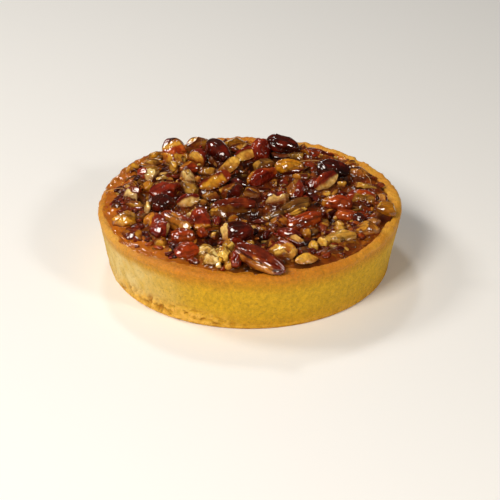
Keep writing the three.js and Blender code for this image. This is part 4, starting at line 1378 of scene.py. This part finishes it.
def filmSurface(base, normal):
    # The rim's own section lifted by the film's thickness, and dipped under the
    # pastry outside the covered part. Its underside lies inside the pastry.
    x, y, z = base[..., 0], base[..., 1], base[..., 2]
    angle = np.degrees(np.arctan2(y, x)) % 360
    inward = np.linspace(0, 1, len(base))[:, None] + 0 * x
    reach = rimFilm["reach"] + 0.09 * noise(x, y, 0 * z, 7, 81) + 0.06 * noise(x, y, 0 * z, 2.2, 83)
    edge = 0.8 + 0.5 * noise(x, y, 0 * z, 5, 87)
    for middle, half, further in rimFilm["runs"]:
        reach = reach + further * edge * (1 - smoothStep(apart(angle, middle), 0.5 * half, half))
    covered = smoothStep(inward - 1 + reach, 0, 0.12)
    lift = (rimFilm["thick"] + rimFilm["sunk"]) * covered - rimFilm["sunk"]
    top = base + normal * lift[..., None]
    under = (base - normal * (rimFilm["sunk"] + rimFilm["under"]))[::-1]
    return closedSurfaces(np.concatenate([top, under])[None])


def filmCaramel():
    # A thin film of clear caramel over browned pastry, uneven at 4 mm
    material, tree, shader = caramelLook("caramelFilm", 0.35)
    place = addNode(tree, "TexCoord").outputs["Object"]
    thickness = addNode(tree, "TexNoise", {"Scale": perMetre / 4, "Detail": 4}, Vector=place)
    stops = [(0.3, "#8e4410"), (0.5, "#b46614"), (0.7, "#c98420")]
    ramp = addNode(tree, "ValToRGB", {"stops": stops}, Fac=thickness.outputs["Fac"])
    tree.links.new(ramp.outputs["Color"], shader.inputs["Base Color"])
    addRipples(tree, shader, place, 2.4, 0.4)
    return material


makePiece("caramelFilm", filmSurface(*filmGround), filmCaramel())
print("film made")

# Fine threads that caramel drew out as it was poured: points along each, as x, y
# and height above the crest
threads = [
    [(-73.6, 8.4, 0.6), (-67.9, 10.8, 2.0), (-61.9, 11.9, 1.2)],
    [(-60.5, 31.2, 1.4), (-53.2, 40.5, 3.6), (-46.5, 41.7, 2.6)],
    [(25.4, 41.7, 1.8), (33.7, 41.7, 2.8), (42.0, 39.9, 1.8)],
    [(48.4, 32.9, 1.2), (55.0, 30.0, 3.2), (60.3, 24.3, 2.8), (62.0, 17.5, 1.0)],
]
thread = {
    "thick": 0.11,  # radius in the middle
    "ends": 0.35,  # part of that at both ends
    "steps": 28,
    "around": 8,
}


def threadSurface():
    # A round tube along a smooth curve through each thread's points, thinner at
    # both ends.
    along = np.linspace(0, 1, thread["steps"])
    spin = 2 * np.pi * np.arange(thread["around"]) / thread["around"]
    radius = thread["thick"] * (thread["ends"] + (1 - thread["ends"]) * np.sin(np.pi * along) ** 0.5)
    tubes = []
    for points in threads:
        points = np.array(points) + [0, 0, case["height"]]
        knots = np.linspace(0, 1, len(points))
        columns = [np.polyval(np.polyfit(knots, column, len(points) - 1), along) for column in points.T]
        curve = np.stack(columns, -1)
        ahead = np.gradient(curve, axis=0)
        ahead /= np.linalg.norm(ahead, axis=1)[:, None]
        aside = np.cross([0, 0, 1.0], ahead)
        aside /= np.linalg.norm(aside, axis=1)[:, None]
        upward = np.cross(ahead, aside)
        ring = aside[:, None] * np.cos(spin)[:, None] + upward[:, None] * np.sin(spin)[:, None]
        tubes.append(curve[:, None] + radius[:, None, None] * ring)
    rings = np.stack(tubes)
    return closedSurfaces(rings, rings[:, 0].mean(axis=1), rings[:, -1].mean(axis=1))


# The threads' pale tone is partly the spun caramel's own and partly a painted highlight along them
spunCaramel = caramelLook("spunCaramel", 0.3, tone="#e0b070")[0]
makePiece("caramelThreads", threadSurface(), spunCaramel)
print("threads made")

# Broken pecans sunk in the caramel between the whole ones
sunken = {
    "count": 330,
    "grid": (12, 5, 18),
    "seed": 23,
    "shapeSeed": 9000,
    "short": 4.5,
    "long": 10.0,
    "reach": 67.5,
    "spread": 0.44,  # power of their distance from the middle, 0.5 being even
    "edge": 70.5,  # no part of one lies further out
    "plainBeyond": 56,  # in the front, those further out are short and show only skin
    "plainLong": 5.6,
    "clear": 0.7,  # how near a larger pecan one may lie, 1 being inside it
    "gap": 0.45,  # how near the middle of a gap
    "turn": 20,  # degrees that most of them are turned from +X
    "kinds": ["chunk", "lobe", "lobe", "flake", "flake", "half"],
    "tones": [
        "brown", "brown", "brown", "brown", "red", "red", "mahogany", "orange", "orange", "tan", "tan",
        "olive",
    ],
    "plainTones": {"tan": "orange", "olive": "orange"},
}


def addSunken():
    rng = np.random.default_rng(sunken["seed"])
    tries = 4 * sunken["count"]
    radius = sunken["reach"] * rng.random(tries) ** sunken["spread"]
    around = rng.random(tries) * 2 * np.pi
    x, y = radius * np.cos(around), radius * np.sin(around)
    free = (cling(x, y) < sunken["clear"]) & (hollowShare(x, y) < sunken["gap"])
    x, y = x[free][:sunken["count"]], y[free][:sunken["count"]]
    level = caramelHeight(x, y) - case["height"]
    parts = []
    for k, (px, py, pz) in enumerate(zip(x, y, level)):
        length = sunken["short"] + (sunken["long"] - sunken["short"]) * rng.random() ** 1.4
        length = min(length, 2 * (sunken["edge"] - math.hypot(px, py)))
        inFront = math.hypot(px, py) > sunken["plainBeyond"] and py < 0
        if inFront:
            length = min(length, sunken["plainLong"])
        size = (length, length * rng.uniform(0.45, 0.8), length * rng.uniform(0.3, 0.45))
        angles = (rng.normal(sunken["turn"], 45), rng.normal(0, 10), rng.normal(0, 18))
        place = (px, py, pz + size[2] * rng.uniform(0.0, 0.3))
        kind, tone = rng.choice(sunken["kinds"]), rng.choice(sunken["tones"])
        if inFront:
            kind, tone = "half", sunken["plainTones"].get(tone, tone)
        row = ("", kind, place, size, angles, tone)
        parts.append(placedPecan(row, sunken["grid"], sunken["shapeSeed"] + pecan["seedStep"] * k))
    points, colours = (np.stack(column) for column in zip(*parts))
    glaze = glazedPecan("glazedPecanSunken", "#fff0d0", 0.5, 0.25)
    makePiece(
        "sunkenPecans", closedPecans(points, sunken["grid"]), glaze,
        {"tone": colours.reshape(-1, 3)})
    print("sunken pecans made:", len(parts))


addSunken()

# Chopped bits
bits = {
    "count": 820,
    "small": 1.0,
    "large": 3.8,
    "splinters": 0.16,  # part of them that are long and thin
    "splinterReach": 62,  # none of those lies further out
    "square": 0.75,  # power that squares them off, 1 being round
    "rings": 7,
    "around": 9,
    "firstRing": 0.35,  # radians from the pole
    "seed": 7,
    "reach": 71.5,
    "spread": 0.44,
    "frontDraw": 0.075,  # how far the wider rim keeps them in, as a part of the radius
    "tones": [
        "#74300f", "#8a4214", "#96501a", "#a8641c", "#b87c26", "#b88a34", "#7c5a1c", "#681d0b", "#86240e",
        "#7c4416", "#702c0c", "#cca450",
    ],
}


def bitsSurface():
    # Each bit is a squared-off ball, pulled out of shape by noise, with two flat
    # broken faces, turned at random and half sunk in the caramel.
    rng = np.random.default_rng(bits["seed"])
    count = bits["count"]
    radius = bits["reach"] * rng.random(count) ** bits["spread"]
    around = rng.random(count) * 2 * np.pi
    radius = radius * (1 - bits["frontDraw"] * frontShare(np.cos(around), np.sin(around)))
    x, y = radius * np.cos(around), radius * np.sin(around)
    size = bits["small"] + (bits["large"] - bits["small"]) * rng.random(count) ** 1.8
    shape = np.stack([size, size * rng.uniform(0.5, 0.85, count), size * rng.uniform(0.35, 0.6, count)], -1)
    thin = (rng.random(count) < bits["splinters"]) & (radius < bits["splinterReach"])
    splinter = [rng.uniform(low, high, count) for low, high in ((5, 10), (1.1, 1.9), (0.9, 1.4))]
    shape = np.where(thin[:, None], np.stack(splinter, -1), shape)
    ball = ballPoints(bits["rings"], bits["around"], bits["firstRing"])
    points = (np.sign(ball) * np.abs(ball) ** bits["square"])[None] + 0 * x[:, None, None]
    tag = 13.7 * np.arange(count)[:, None]  # sets each bit apart in the noise
    push = 1 + 0.28 * noise(points[..., 0] * 2 + tag, points[..., 1] * 2, points[..., 2] * 2, 1.3, 71)
    points = points * push[..., None] * shape[:, None] / 2
    for _ in range(2):
        side = rng.normal(size=(count, 3)) / shape
        side /= np.linalg.norm(side, axis=1)[:, None]
        beyond = np.einsum("pvi,pi->pv", points, side)
        limit = beyond.max(axis=1)[:, None] * rng.uniform(0.5, 0.8, (count, 1))
        points = points * np.where(beyond > limit, limit / np.maximum(beyond, 0.001), 1)[..., None]
    angles = zip(rng.uniform(0, 360, count), rng.normal(0, 12, count), rng.normal(0, 25, count))
    spins = np.array([turning(*three) for three in angles])
    points = np.einsum("pij,pvj->pvi", spins, points)
    upper = smoothStep(points[..., 2] / shape[:, 2:], -0.25, 0.4)
    z = caramelHeight(x, y) + shape[:, 2] * rng.uniform(-0.3, 0.15, count)
    points = points + np.stack([x, y, z], -1)[:, None]
    # Darker below and in the gaps, a painted shade, and lighter on the left by the rim
    palette = np.array([linear(tone) for tone in bits["tones"]])
    tone = palette[rng.integers(0, len(palette), count)] * rng.uniform(0.75, 1.1, count)[:, None]
    shade = np.maximum(0.5 * (1 - upper), 0.8 * hollowShare(x, y)[:, None] * (1 - 0.4 * upper))
    onLeft = (smoothStep(radius, 56, 65) * smoothStep(-x, 0, 30))[:, None]
    filmed = tone * (1 - 0.6 * (1 - np.array(filmAndShade["thin"])) * rng.random(count)[:, None])
    filmed = filmed * (1 + 0.5 * onLeft)
    colours = filmedOrShaded(filmed[:, None], shade * (1 - 0.6 * onLeft), filmAndShade["deep"])
    return closedPieces(points, bits["rings"], bits["around"]), colours.reshape(-1, 3)


surface, colours = bitsSurface()
glaze = glazedPecan("glazedPecanBits", "#fff0d0", 0.22, 0.3)
makePiece("choppedPecans", surface, glaze, {"tone": colours})
print("chopped bits made")
